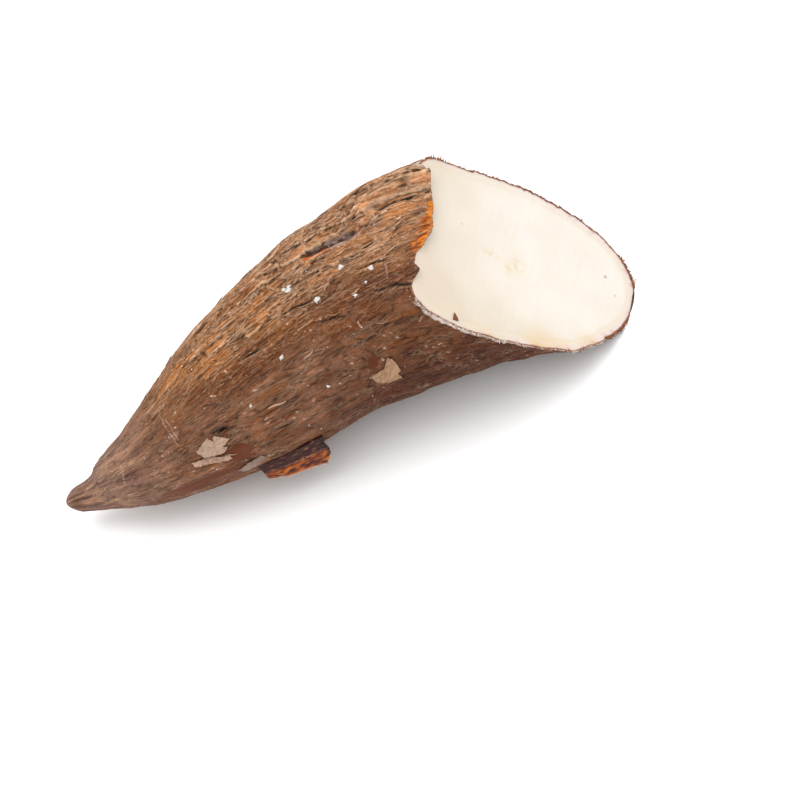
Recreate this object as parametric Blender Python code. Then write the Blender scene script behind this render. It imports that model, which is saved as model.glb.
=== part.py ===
"""One half of a cassava root: the pointed end of the tuber, cut through with one slanting stroke.

The root lies on its belly along X. Its thin tip points to -X and is lifted a little off the ground. The
cut face looks towards +X, upwards and a little towards -Y. It is one solid, because it grew as one piece: a
lofted body with wrinkled bark, a lip of bark left standing past the cut, a strip of peeled bark that hangs
off the near side, and loose plates of bark all round. Metres, +Z up, origin under the middle of the root.
"""
import math

import bmesh
import bpy
import numpy as np
from mathutils import Vector

# ---------------------------------------------------------------- driving dimensions (metres and radians)
SPINE_LENGTH = 0.1639                       # along X, from the tip to station 1.0
TIP_STATION = 0.03                          # the blunt tip is rounded up to here
# The plain radius along the root: a small knob at the tip, a short neck, then the swelling body.
GIRTH_STATIONS = (0.0, 0.02, 0.045, 0.07, 0.10, 0.22, 0.38, 0.55, 0.75, 0.95, 1.25)
GIRTH_RADII = (0.0027, 0.0037, 0.0045, 0.0057, 0.0082, 0.0163, 0.0242, 0.0272, 0.0295, 0.0267, 0.0267)
BOW_STATIONS = (0.0, 0.15, 0.35, 0.60, 0.85, 1.20)
BOW = (-0.0033, -0.0048, 0.0008, 0.0099, 0.0096, -0.0108)  # the spine's sideways bend, along Y
TIP_LIFT = 0.0090                           # height of the tip's underside
TIP_LIFT_END = 0.50                         # station where the belly reaches the ground
FLAT_DEPTH = 0.0011                         # how far the belly is pressed flat
FRONT_SHIFT = Vector((-0.0920, -0.0088, -FLAT_DEPTH))      # brings the middle of the root to the origin

# The section is a circle with waves round it: count, share of the radius, and angle.
WAVES = ((2, 0.0164, -0.205), (3, 0.0482, 0.958), (4, 0.0201, 0.741))
WAVE_RISE = 0.60                            # the waves are at full depth from this station
# Long ridges on the section: share of the radius, angle, half width, and the stations where each rises.
RIDGES = (
    (0.180, math.radians(55.5), math.radians(13.8), 0.35, 0.75),
    (0.120, math.radians(134.0), math.radians(14.9), 0.35, 0.75),
    (-0.070, math.radians(86.0), math.radians(17.0), 0.35, 0.75),
    (0.065, math.radians(52.5), math.radians(5.5), 0.74, 0.84),
)

# The knife's plane.
CUT_NORMAL = Vector((0.6115, -0.3676, 0.7007)).normalized()
CUT_DISTANCE = 0.1106                       # from the tip's ground point, along the normal

# Bark relief: long creases that wander round the root, and slow dents between them.
CREASES = 24                                # number of creases round the root
CREASE_DEPTH = 0.0015
CREASE_SHARPNESS = 1.3
# Waves that bend the creases: strength, waves along the root, waves round it, and phase.
CREASE_BENDS = ((2.0, 1.3, 1, 0.0), (0.9, 3.4, 2, 0.7))
DENT_DEPTH = 0.0006
BELLY_ANGLE = -0.5 * math.pi                # straight down; the relief fades out there
BELLY_FADE = (0.25, 0.70)
# A long open slit on top of the root.
SCAR_ANGLE = math.radians(71.5)             # at its first station
SCAR_TURN = 0.60                            # radians round the root for one station along it
SCAR_STATIONS = (0.575, 0.668)
SCAR_ENDS = (0.015, 0.020)                  # how far its ends taper, outside and inside those stations
SCAR_DEPTH = 0.0014
SCAR_HALF_WIDTH = math.radians(2.3)

RINGS = 46
SEGMENTS = 116
BARK = (0.24, 0.125, 0.06, 1.0)
FLESH = (0.92, 0.86, 0.74, 1.0)


# ---------------------------------------------------------------- the root's form
def smooth_curve(stations, values, at):
    """Cubic pieces through a few points; each slope comes from the point's two neighbours."""
    x = np.asarray(stations, dtype=float)
    y = np.asarray(values, dtype=float)
    at = np.clip(np.asarray(at, dtype=float), x[0], x[-1])
    step = np.diff(x)
    rise = np.diff(y) / step
    inner = (step[1:] * rise[:-1] + step[:-1] * rise[1:]) / (step[1:] + step[:-1])
    slope = np.concatenate(([rise[0]], inner, [rise[-1]]))
    k = np.clip(np.searchsorted(x, at, side="right") - 1, 0, len(step) - 1)
    t = (at - x[k]) / step[k]
    start = (1 + 2 * t) * (1 - t) ** 2 * y[k] + t * (1 - t) ** 2 * step[k] * slope[k]
    end = t * t * (3 - 2 * t) * y[k + 1] + t * t * (t - 1) * step[k] * slope[k + 1]
    return start + end


def ease(value, low, high):
    """0 below low, 1 above high, smooth between."""
    t = np.clip((value - low) / (high - low), 0.0, 1.0)
    return t * t * (3 - 2 * t)


def around(angle):
    """The angle brought into -pi to pi."""
    return (angle + math.pi) % (2 * math.pi) - math.pi


def waves(angle):
    """The wavy part of the section, as a share of the radius."""
    return sum(depth * np.cos(count * (angle - at)) for count, depth, at in WAVES)


LOWEST = -np.min((1 + waves(np.linspace(0, 2 * math.pi, 721))) * np.sin(np.linspace(0, 2 * math.pi, 721)))


def girth(station):
    """The plain radius of the tuber, without the rounding of the tip."""
    return smooth_curve(GIRTH_STATIONS, GIRTH_RADII, station)


def radius(station):
    """The plain radius, rounded off at the tip."""
    cap = np.clip(station / TIP_STATION, 0.0, 1.0)
    return girth(station) * np.sqrt(1 - (1 - cap) ** 2)


def spine(station):
    """The centre line, at the height that lets the belly touch the ground."""
    reach = 1 + (LOWEST - 1) * np.clip(station / WAVE_RISE, 0.0, 1.0)
    lift = TIP_LIFT * np.clip(1 - station / TIP_LIFT_END, 0.0, 1.0) ** 2
    height = girth(station) * reach + lift
    return np.stack([SPINE_LENGTH * station, smooth_curve(BOW_STATIONS, BOW, station), height], axis=-1)


def bark_relief(station, angle):
    """Height of the bark over the smooth form: long wandering creases, slow dents and one open scar."""
    turn = 2 * math.pi * station
    bend = sum(size * np.sin(along * turn + count * angle + at) for size, along, count, at in CREASE_BENDS)
    crease = (1 - np.abs(np.sin(0.5 * CREASES * angle + bend))) ** CREASE_SHARPNESS
    broken = 0.55 + 0.45 * np.sin(4.6 * turn + 5 * angle + 1.2 * np.sin(2.1 * turn + 3 * angle))
    upper = 0.45 + 0.55 * ease(np.sin(angle), -0.1, 0.7)
    dent = np.sin(2.2 * turn + 2 * angle) * np.sin(1.1 * turn - 3 * angle + 0.4)
    ripe = ease(station, 0.03, 0.25) * (0.55 + 0.45 * ease(station, 0.35, 0.8))
    relief = (DENT_DEPTH * dent - CREASE_DEPTH * crease * broken * upper) * ripe
    relief = relief * ease(np.abs(around(angle - BELLY_ANGLE)), *BELLY_FADE)
    return relief - SCAR_DEPTH * scar(station, angle)


def scar(station, angle):
    """1 along the middle of the open slit, 0 away from it."""
    middle = SCAR_ANGLE + SCAR_TURN * (station - SCAR_STATIONS[0])
    slit = np.exp(-(around(angle - middle) / SCAR_HALF_WIDTH) ** 2)
    first = ease(station, SCAR_STATIONS[0] - SCAR_ENDS[0], SCAR_STATIONS[0] + SCAR_ENDS[1])
    last = ease(station, SCAR_STATIONS[1] - SCAR_ENDS[1], SCAR_STATIONS[1] + SCAR_ENDS[0])
    return slit * first * (1 - last)


def surface(station, angle, proud=0.0):
    """Points of the bark at the stations and angles given, each raised by proud metres."""
    station = np.asarray(station, dtype=float)
    angle = np.asarray(angle, dtype=float)
    small = 1e-3
    ahead = spine(station + small) - spine(np.maximum(station - small, 0.0))
    ahead /= np.linalg.norm(ahead, axis=-1, keepdims=True)
    side = np.cross(np.broadcast_to((0.0, 0.0, 1.0), ahead.shape), ahead)
    side /= np.linalg.norm(side, axis=-1, keepdims=True)
    up = np.cross(ahead, side)
    share = 1 + waves(angle) * np.clip(station / WAVE_RISE, 0.0, 1.0)
    for depth, at, width, low, high in RIDGES:
        share = share + depth * np.exp(-(around(angle - at) / width) ** 2) * ease(station, low, high)
    reach = (radius(station) * share + bark_relief(station, angle) + proud)[..., None]
    return spine(station) + reach * (np.cos(angle)[..., None] * side + np.sin(angle)[..., None] * up)


def cut_station(angle):
    """The station where the knife's plane crosses the bark at this angle."""
    stations = np.linspace(0.5, 1.24, 400)
    height = surface(stations, np.full_like(stations, angle)) @ np.array(CUT_NORMAL) - CUT_DISTANCE
    k = int(np.argmax(height > 0))
    return float(np.interp(0.0, height[k - 1:k + 1], stations[k - 1:k + 1]))


# ---------------------------------------------------------------- mesh helpers
def mesh_object(name, points, faces, collection):
    """A named object in a collection, from points and faces, with its normals turned outwards."""
    mesh = bpy.data.meshes.new(name)
    mesh.from_pydata([tuple(p) for p in points], [], faces)
    shape = bmesh.new()
    shape.from_mesh(mesh)
    bmesh.ops.recalc_face_normals(shape, faces=shape.faces)
    bmesh.ops.triangulate(shape, faces=shape.faces)
    shape.to_mesh(mesh)
    shape.free()
    item = bpy.data.objects.new(name, mesh)
    collection.objects.link(item)
    return item


def quad_grid(rows, columns, start=0, wrap=False):
    """Faces of a grid of points numbered row by row."""
    faces = []
    for i in range(rows - 1):
        for j in range(columns if wrap else columns - 1):
            k = (j + 1) % columns
            low = start + i * columns
            high = low + columns
            faces.append((low + j, low + k, high + k, high + j))
    return faces


def closed_sheet(name, outer, inner, collection):
    """A thin closed piece between two grids of points of the same size."""
    rows, columns = outer.shape[:2]
    count = rows * columns
    faces = quad_grid(rows, columns)
    faces += [tuple(reversed(face)) for face in quad_grid(rows, columns, start=count)]
    rim = [j for j in range(columns)]
    rim += [i * columns + columns - 1 for i in range(1, rows)]
    rim += [(rows - 1) * columns + j for j in range(columns - 2, -1, -1)]
    rim += [i * columns for i in range(rows - 2, 0, -1)]
    for a, b in zip(rim, rim[1:] + rim[:1]):
        faces.append((b, a, a + count, b + count))
    points = np.concatenate([outer.reshape(-1, 3), inner.reshape(-1, 3)])
    return mesh_object(name, points, faces, collection)


def apply_boolean(item, operation, other=None, collection=None, solver="EXACT"):
    """Adds a Boolean to the object and applies it."""
    modifier = item.modifiers.new("join", "BOOLEAN")
    modifier.operation = operation
    modifier.solver = solver
    if collection is not None:
        modifier.operand_type = "COLLECTION"
        modifier.collection = collection
    else:
        modifier.object = other
    graph = bpy.context.evaluated_depsgraph_get()
    mesh = bpy.data.meshes.new_from_object(item.evaluated_get(graph))
    item.modifiers.clear()
    old = item.data
    item.data = mesh
    bpy.data.meshes.remove(old)


def plain_material(name, colour, roughness):
    """A Principled BSDF with one colour."""
    material = bpy.data.materials.new(name)
    material.use_nodes = True
    shader = material.node_tree.nodes["Principled BSDF"]
    shader.inputs["Base Color"].default_value = colour
    shader.inputs["Roughness"].default_value = roughness
    shader.inputs["Metallic"].default_value = 0.0
    material.diffuse_color = colour
    return material


# ---------------------------------------------------------------- the pieces of the root
def body(collection):
    """The tuber as a loft of rings from the blunt tip to past the cut."""
    near_tip = TIP_STATION * (1 - np.cos(np.linspace(0.15, 0.5, 5) * math.pi))
    along = TIP_STATION + (1.2 - TIP_STATION) * np.linspace(0, 1, RINGS - 4) ** 1.15
    stations = np.concatenate([near_tip, along[1:]])
    angles = np.linspace(0, 2 * math.pi, SEGMENTS, endpoint=False)
    rings = surface(*np.meshgrid(stations, angles, indexing="ij"))
    points = np.concatenate([rings.reshape(-1, 3), spine(np.array([0.0])), spine(stations[-1:])])
    faces = quad_grid(len(stations), SEGMENTS, wrap=True)
    tip = len(points) - 2
    end = len(points) - 1
    last = (len(stations) - 1) * SEGMENTS
    for j in range(SEGMENTS):
        k = (j + 1) % SEGMENTS
        faces.append((tip, k, j))
        faces.append((end, last + j, last + k))
    return mesh_object("cassava_root", points, faces, collection)


# The lip's free edge: angle round the root in degrees, and how far it reaches past the cut along the bark.
LIP_ANGLES = (58.0, 61.0, 65.0, 85.0, 97.0, 101.0, 105.0, 108.0, 115.0, 120.0, 123.0, 127.0)
LIP_REACH = (0.0005, 0.0029, 0.0031, 0.0025, 0.0034, 0.0026, 0.0022, 0.0006, 0.0005, 0.0022, 0.0014, 0.0004)
LIP_THICKNESS = 0.0012
LIP_STEPS = 36
LIP_ROWS = 4
LIP_ROOT = 0.0045                           # how far back the lip is sunk into the body
LIP_PROUD = (-0.0008, 0.0003)               # its outer side over the bark, at its root and its free edge


def bark_lip(collection):
    """A sheet of bark that the knife tore instead of cutting, so that it stands past the cut face."""
    angles = np.linspace(LIP_ANGLES[0], LIP_ANGLES[-1], LIP_STEPS)
    reach = np.interp(angles, LIP_ANGLES, LIP_REACH)
    crossing = np.array([cut_station(math.radians(a)) for a in angles])
    share = np.linspace(0, 1, LIP_ROWS)[:, None]
    station = crossing - LIP_ROOT / SPINE_LENGTH + share * (reach + LIP_ROOT) / SPINE_LENGTH
    angle = np.broadcast_to(np.radians(angles), station.shape)
    proud = np.broadcast_to(np.interp(share, (0, 1), LIP_PROUD), station.shape)
    outer = surface(station, angle, proud)
    return closed_sheet("bark_lip", outer, surface(station, angle, proud - LIP_THICKNESS), collection)


STRIP_STATIONS = (0.315, 0.430)
STRIP_SLANT = 0.013                         # how much shorter the strip is at its free edge, in stations
STRIP_ANGLE = math.radians(191.0)           # where the strip leaves the body
STRIP_WIDTHS = (0.0084, 0.0126)
STRIP_FLARE = math.radians(22.0)            # how far it stands away from the body
STRIP_THICKNESS = 0.0014
STRIP_SINK = 0.0006                         # how deep its upper edge is sunk into the bark
STRIP_BULGE = 0.0007
STRIP_ROWS, STRIP_COLUMNS = 13, 6


def peeled_strip(collection):
    """A strip of bark peeled off the near side, hanging on by its upper edge."""
    grid = np.meshgrid(np.linspace(0, 1, STRIP_ROWS), np.linspace(0, 1, STRIP_COLUMNS), indexing="ij")
    share, across = grid
    ragged = STRIP_SLANT * (across ** 2 + 0.25 * np.sin(9.0 * across)) * share
    station = STRIP_STATIONS[0] + (STRIP_STATIONS[1] - STRIP_STATIONS[0]) * share - ragged
    base_angle = np.full_like(station, STRIP_ANGLE)
    base = surface(station, base_angle, -STRIP_SINK)
    down = surface(station, base_angle + 0.02, -STRIP_SINK) - base
    down /= np.linalg.norm(down, axis=-1, keepdims=True)
    out = surface(station, base_angle, STRIP_SINK) - base
    out /= np.linalg.norm(out, axis=-1, keepdims=True)
    hang = math.cos(STRIP_FLARE) * down + math.sin(STRIP_FLARE) * out
    width = STRIP_WIDTHS[0] + (STRIP_WIDTHS[1] - STRIP_WIDTHS[0]) * share
    bulge = STRIP_BULGE * (np.sin(math.pi * across) + 0.6 * np.sin(6.0 * share) * across)
    outer = base + (across * width)[..., None] * hang + bulge[..., None] * out
    return closed_sheet("peeled_strip", outer, outer - STRIP_THICKNESS * out, collection)


# Loose plates of bark. The two papery flakes are given as station, angle in degrees, length and width.
PLATE_COUNT = 10
PLATE_STATIONS = (0.42, 0.80)
PLATE_ANGLES = (-25.0, 150.0)               # degrees round the root that the draw covers
PLATE_LENGTHS = (0.010, 0.015)
PLATE_WIDTHS = (0.0045, 0.0065)
PLATE_CUT_GAP = 0.06                        # stations kept free before the cut
PLATE_SEED = 7
PAPER_FLAKES = ((0.285, 149.0, 0.0085, 0.0085), (0.594, 169.0, 0.0090, 0.0075))
PLATE_PROUD = 0.0009
PLATE_SINK = 0.0012
PLATE_TURN = 0.12                           # how far a plate turns away from the root's length


def bark_plate(number, station, angle, length, width, collection):
    """A thin plate of bark: sunk at its tip end and standing off the surface at the other."""
    rows, columns = 6, 5
    along, across = np.meshgrid(np.linspace(-1, 1, rows), np.linspace(-1, 1, columns), indexing="ij")
    narrow = 1 - 0.45 * along ** 4 + 0.10 * np.sin(3 * along + number)
    around_root = float(girth(station))
    stations = station + along * 0.5 * length / SPINE_LENGTH
    angles = angle + (across * narrow * 0.5 * width + PLATE_TURN * along * length) / around_root
    proud = PLATE_PROUD * ease(along, -1.2, 0.9) * (1 - 0.8 * across ** 2) - 0.0001
    outer = surface(stations, angles, proud)
    return closed_sheet(f"bark_plate_{number}", outer, surface(stations, angles, -PLATE_SINK), collection)


def bark_plates(collection):
    """The two large papery flakes, then plates spread over the top and the far side by a seeded draw."""
    for number, (station, angle, length, width) in enumerate(PAPER_FLAKES):
        bark_plate(number, station, math.radians(angle), length, width, collection)
    draw = np.random.default_rng(PLATE_SEED)
    for number in range(PLATE_COUNT):
        share = (number + 0.5) / PLATE_COUNT
        station = PLATE_STATIONS[0] + (PLATE_STATIONS[1] - PLATE_STATIONS[0]) * (share * 3.3 % 1.0)
        spread = PLATE_ANGLES[0] + (PLATE_ANGLES[1] - PLATE_ANGLES[0]) * share
        angle = math.radians(spread + draw.uniform(-5.0, 5.0))
        station = min(station, cut_station(angle) - PLATE_CUT_GAP)
        length = draw.uniform(*PLATE_LENGTHS)
        width = draw.uniform(*PLATE_WIDTHS)
        bark_plate(len(PAPER_FLAKES) + number, station, angle, length, width, collection)


# ---------------------------------------------------------------- cutters
def cutter(name, size, location, direction, collection):
    """A cube whose face passes through the location and whose bulk lies along the direction."""
    bpy.ops.mesh.primitive_cube_add(size=size)
    item = bpy.context.object
    item.name = name
    item.rotation_euler = direction.to_track_quat("Z", "Y").to_euler()
    item.location = location + direction * (size / 2)
    item.hide_render = True
    item.display_type = "WIRE"
    for owner in list(item.users_collection):
        owner.objects.unlink(item)
    collection.objects.link(item)
    return item


def colour_faces(root):
    """Bark all over, and flesh on the faces that lie in the knife's plane."""
    root.data.materials.clear()
    root.data.materials.append(plain_material("bark", BARK, 0.62))
    root.data.materials.append(plain_material("flesh", FLESH, 0.45))
    plane_distance = CUT_DISTANCE + CUT_NORMAL.dot(FRONT_SHIFT)
    for face in root.data.polygons:
        in_plane = abs(face.center.dot(CUT_NORMAL) - plane_distance) < 1e-5
        face.material_index = 1 if in_plane and face.normal.dot(CUT_NORMAL) > 0.999 else 0


def main():
    for item in list(bpy.data.objects):
        bpy.data.objects.remove(item, do_unlink=True)
    parts = bpy.data.collections.new("cassava_root_half")
    cutters = bpy.data.collections.new("cutters")
    extras = bpy.data.collections.new("bark_pieces")
    for collection in (parts, cutters, extras):
        bpy.context.scene.collection.children.link(collection)

    root = body(parts)
    knife = cutter("knife", 0.3, CUT_NORMAL * CUT_DISTANCE, CUT_NORMAL, cutters)
    ground = cutter("ground", 0.6, Vector((0.0, 0.0, FLAT_DEPTH)), Vector((0.0, 0.0, -1.0)), cutters)
    bpy.context.view_layer.update()
    apply_boolean(root, "DIFFERENCE", other=knife)
    bark_lip(extras)
    peeled_strip(extras)
    bark_plates(extras)
    bpy.context.view_layer.update()
    apply_boolean(root, "UNION", collection=extras)
    for item in list(extras.objects):
        bpy.data.objects.remove(item, do_unlink=True)
    bpy.data.collections.remove(extras)
    apply_boolean(root, "DIFFERENCE", other=ground)

    root.data.transform(root.matrix_world.Translation(FRONT_SHIFT))
    colour_faces(root)
    root.data.shade_smooth()
    root.data.set_sharp_from_angle(angle=math.radians(35.0))


main()
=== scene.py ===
"""The looks of a halved cassava root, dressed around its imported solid.

Metres, +Z up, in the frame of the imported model. The form functions repeat the solid's own, so the fine
bark, the cut face and the torn bits all sit where the solid is.
"""
import math
from functools import partial, partialmethod
from math import radians

import bpy
import numpy as np
from mathutils import Matrix, Vector


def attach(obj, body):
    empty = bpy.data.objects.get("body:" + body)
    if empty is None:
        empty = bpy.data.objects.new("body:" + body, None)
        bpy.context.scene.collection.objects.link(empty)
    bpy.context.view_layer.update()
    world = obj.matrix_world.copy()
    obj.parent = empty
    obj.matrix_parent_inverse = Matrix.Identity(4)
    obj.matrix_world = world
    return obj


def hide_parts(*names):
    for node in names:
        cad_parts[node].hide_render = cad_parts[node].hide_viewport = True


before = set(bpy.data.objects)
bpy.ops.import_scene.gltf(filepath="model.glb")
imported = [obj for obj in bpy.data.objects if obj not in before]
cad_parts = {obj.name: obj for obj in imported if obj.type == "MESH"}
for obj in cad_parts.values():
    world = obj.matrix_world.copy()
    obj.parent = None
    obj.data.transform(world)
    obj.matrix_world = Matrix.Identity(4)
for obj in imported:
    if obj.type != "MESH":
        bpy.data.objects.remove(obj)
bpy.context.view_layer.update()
NODE = "cassava_root"
BODY = "root"


def in_radians(columns, rows):
    """Rows of a table with the values in these columns turned from degrees to radians."""
    return [[radians(value) if k in columns else value for k, value in enumerate(row)] for row in rows]


# ---- the root's form, as in the solid
SPINE_LENGTH = 0.1639
TIP_STATION = 0.03
GIRTH_STATIONS = (0.0, 0.02, 0.045, 0.07, 0.10, 0.22, 0.38, 0.55, 0.75, 0.95, 1.25)
GIRTH_RADII = (0.0027, 0.0037, 0.0045, 0.0057, 0.0082, 0.0163, 0.0242, 0.0272, 0.0295, 0.0267, 0.0267)
BOW_STATIONS = (0.0, 0.15, 0.35, 0.60, 0.85, 1.20)
BOW = (-0.0033, -0.0048, 0.0008, 0.0099, 0.0096, -0.0108)
TIP_LIFT = 0.0090
TIP_LIFT_END = 0.50
FLAT_DEPTH = 0.0011
FRONT_SHIFT = np.array((-0.0920, -0.0088, -FLAT_DEPTH))
WAVES = ((2, 0.0164, -0.205), (3, 0.0482, 0.958), (4, 0.0201, 0.741))
# Lengthwise ridges: share of the radius, degrees round, half width in degrees, and the stations over which
# each rises.
RIDGES = in_radians((1, 2), (
    (0.180, 55.5, 13.8, 0.35, 0.75),
    (0.120, 134.0, 14.9, 0.35, 0.75),
    (-0.070, 86.0, 17.0, 0.35, 0.75),
    (0.065, 52.5, 5.5, 0.74, 0.84),
))
WAVE_RISE = 0.60
CUT_NORMAL = np.array((0.6115, -0.3676, 0.7007))
CUT_NORMAL = CUT_NORMAL / np.linalg.norm(CUT_NORMAL)
CUT_DISTANCE = 0.1106
CREASES = 24
CREASE_DEPTH = 0.0015
CREASE_SHARPNESS = 1.3
CREASE_BENDS = ((2.0, 1.3, 1, 0.0), (0.9, 3.4, 2, 0.7))
DENT_DEPTH = 0.0006
BELLY_ANGLE = -0.5 * math.pi
BELLY_FADE = (0.25, 0.70)
SCAR_ANGLE = radians(71.5)
SCAR_TURN = 0.60
SCAR_STATIONS = (0.575, 0.668)
SCAR_ENDS = (0.015, 0.020)
SCAR_DEPTH = 0.0014
SCAR_HALF_WIDTH = radians(2.3)
# The solid's creases stand for finer ones, which the fine bark has itself.
CREASE_SHARE = 0.55
# The fine bark's middle level lies a little below the crests of the solid's creases.
SINK = 0.0005
SINK_STATIONS = (0.12, 0.25)
UP = np.array((0.0, 0.0, 1.0))


def smooth_curve(stations, values, at):
    """A smooth curve through the points, level with the first and last value beyond them."""
    x = np.asarray(stations, dtype=float)
    y = np.asarray(values, dtype=float)
    at = np.clip(np.asarray(at, dtype=float), x[0], x[-1])
    step = np.diff(x)
    rise = np.diff(y) / step
    inner = (step[1:] * rise[:-1] + step[:-1] * rise[1:]) / (step[1:] + step[:-1])
    slope = np.concatenate(([rise[0]], inner, [rise[-1]]))
    k = np.clip(np.searchsorted(x, at, side="right") - 1, 0, len(step) - 1)
    t = (at - x[k]) / step[k]
    start = (1 + 2 * t) * (1 - t) ** 2 * y[k] + t * (1 - t) ** 2 * step[k] * slope[k]
    end = t * t * (3 - 2 * t) * y[k + 1] + t * t * (t - 1) * step[k] * slope[k + 1]
    return start + end


def ease(value, low, high):
    """0 below low, 1 above high, smooth between."""
    t = np.clip((value - low) / (high - low), 0, 1)
    return t * t * (3 - 2 * t)


def around(angle):
    """The same direction, between minus and plus half a turn."""
    return (angle + math.pi) % (2 * math.pi) - math.pi


def whole_turn(angle):
    """The same direction, from nothing to a whole turn."""
    return around(angle - math.pi) + math.pi


def between(value, start, full, fade, end):
    """1 from full to fade, 0 before start and after end, smooth between."""
    return ease(value, start, full) * (1 - ease(value, fade, end))


def waves(angle):
    return sum(depth * np.cos(count * (angle - at)) for count, depth, at in WAVES)


def lowest_share():
    angle = np.linspace(0, 2 * math.pi, 721)
    return -np.min((1 + waves(angle)) * np.sin(angle))


LOWEST = lowest_share()


def girth(station):
    return smooth_curve(GIRTH_STATIONS, GIRTH_RADII, station)


def radius(station):
    cap = np.clip(station / TIP_STATION, 0, 1)
    return girth(station) * np.sqrt(1 - (1 - cap) ** 2)


def spine(station):
    """The root's centre line, high enough for the belly to lie on the ground."""
    reach = 1 + (LOWEST - 1) * np.clip(station / WAVE_RISE, 0, 1)
    lift = TIP_LIFT * np.clip(1 - station / TIP_LIFT_END, 0, 1) ** 2
    height = girth(station) * reach + lift
    return np.stack([SPINE_LENGTH * station, smooth_curve(BOW_STATIONS, BOW, station), height], axis=-1)


def bark_relief(station, angle):
    """The creases, dents and healed slit that the solid has."""
    turn = 2 * math.pi * station
    bend = sum(size * np.sin(along * turn + count * angle + at) for size, along, count, at in CREASE_BENDS)
    crease = (1 - np.abs(np.sin(0.5 * CREASES * angle + bend))) ** CREASE_SHARPNESS
    broken = 0.55 + 0.45 * np.sin(4.6 * turn + 5 * angle + 1.2 * np.sin(2.1 * turn + 3 * angle))
    upper = 0.45 + 0.55 * ease(np.sin(angle), -0.1, 0.7)
    dent = np.sin(2.2 * turn + 2 * angle) * np.sin(1.1 * turn - 3 * angle + 0.4)
    ripe = ease(station, 0.03, 0.25) * (0.55 + 0.45 * ease(station, 0.35, 0.8))
    relief = (DENT_DEPTH * dent - CREASE_DEPTH * crease * broken * upper) * ripe
    relief = relief * ease(np.abs(around(angle - BELLY_ANGLE)), *BELLY_FADE)
    return relief - SCAR_DEPTH * scar(station, angle)


def scar_turn(station, angle):
    """How far round from the middle line of the healed slit, in radians."""
    return around(angle - SCAR_ANGLE - SCAR_TURN * (station - SCAR_STATIONS[0]))


def scar(station, angle):
    """1 along the middle of the healed slit, 0 away from it."""
    slit = np.exp(-(scar_turn(station, angle) / SCAR_HALF_WIDTH) ** 2)
    first, last = SCAR_STATIONS
    before, inside = SCAR_ENDS
    return slit * between(station, first - before, first + inside, last - inside, last + before)


def unit(vectors):
    return vectors / np.linalg.norm(vectors, axis=-1, keepdims=True)


def surface(station, angle, proud=0.0):
    """A point of the bark in the solid's frame, proud of the solid's own surface by that much."""
    ahead = unit(spine(station + 1e-3) - spine(np.maximum(station - 1e-3, 0)))
    side = unit(np.cross(UP, ahead))
    up = np.cross(ahead, side)
    share = 1 + waves(angle) * np.clip(station / WAVE_RISE, 0, 1)
    for depth, at, width, low, high in RIDGES:
        share = share + depth * np.exp(-(around(angle - at) / width) ** 2) * ease(station, low, high)
    reach = (radius(station) * share + CREASE_SHARE * bark_relief(station, angle) + proud)[..., None]
    out = np.cos(angle)[..., None] * side + np.sin(angle)[..., None] * up
    return spine(station) + reach * out + FRONT_SHIFT


CUT_OFFSET = CUT_DISTANCE + FRONT_SHIFT @ CUT_NORMAL


def past_cut(points):
    """How far points are beyond the plane of the cut."""
    return points @ CUT_NORMAL - CUT_OFFSET


def cut_station(angles):
    """Where the bark meets the cut, for each angle."""
    tries = np.linspace(0.5, 1.24, 400)
    found = []
    for angle in np.ravel(angles):
        gap = past_cut(surface(tries, np.full_like(tries, angle), -SINK))
        k = int(np.argmax(gap > 0))
        share = gap[k - 1] / (gap[k - 1] - gap[k])
        found.append(tries[k - 1] + share * (tries[k] - tries[k - 1]))
    return np.reshape(found, np.shape(angles))


# ---- seeded noise
def lattice(cell, seed):
    """A fixed direction for each whole-number grid point."""
    x, y, z = (cell[..., k].astype(np.uint64) for k in range(3))
    mask = np.uint64(0xFFFFFFFF)
    mix = x * np.uint64(73856093) ^ y * np.uint64(19349663) ^ z * np.uint64(83492791)
    mix = (mix ^ np.uint64(seed * 2654435761)) & mask
    for shift, factor in ((15, 2246822519), (13, 3266489917)):
        mix = ((mix ^ (mix >> np.uint64(shift))) * np.uint64(factor)) & mask
    mix = mix ^ (mix >> np.uint64(16))
    parts = [(mix >> np.uint64(10 * k)) & np.uint64(1023) for k in range(3)]
    return np.stack(parts, axis=-1).astype(float) / 511.5 - 1


def noise(points, seed):
    """Smooth seeded noise, about -1 to 1, one grid step to a unit."""
    cell = np.floor(points).astype(np.int64)
    part = points - cell
    fade = part ** 3 * (part * (part * 6 - 15) + 10)
    total = np.zeros(points.shape[:-1])
    for corner in np.ndindex(2, 2, 2):
        share = np.prod(np.where(np.array(corner) == 1, fade, 1 - fade), axis=-1)
        total += share * np.sum(lattice(cell + corner, seed) * (part - corner), axis=-1)
    return 1.6 * total


def grain(station, angle, along, across, twist=0.0):
    """Noise space that follows the bark: one unit is that many metres along the root and across it."""
    turned = angle - twist * station
    reach = 0.45 * GIRTH_RADII[-3] + 0.55 * girth(station)
    parts = [SPINE_LENGTH * station / along, reach * np.cos(turned) / across, reach * np.sin(turned) / across]
    return np.stack(parts, axis=-1)


def noise_at(x, y, z, seed):
    """Seeded noise at coordinates that are given apart."""
    return noise(np.stack(np.broadcast_arrays(x, y, z), axis=-1), seed)


def bark_noise(station, angle, along, across, seed, twist=0.0):
    """Noise that follows the bark, in patches of about that many metres along and across."""
    return noise(grain(station, angle, along, across, twist), seed)


def spot_distance(station, angle, at, turned, long, wide):
    """Squared distance from a spot on the bark, counted in its half length and half turn."""
    return ((station - at) / long) ** 2 + (around(angle - turned) / wide) ** 2


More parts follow.
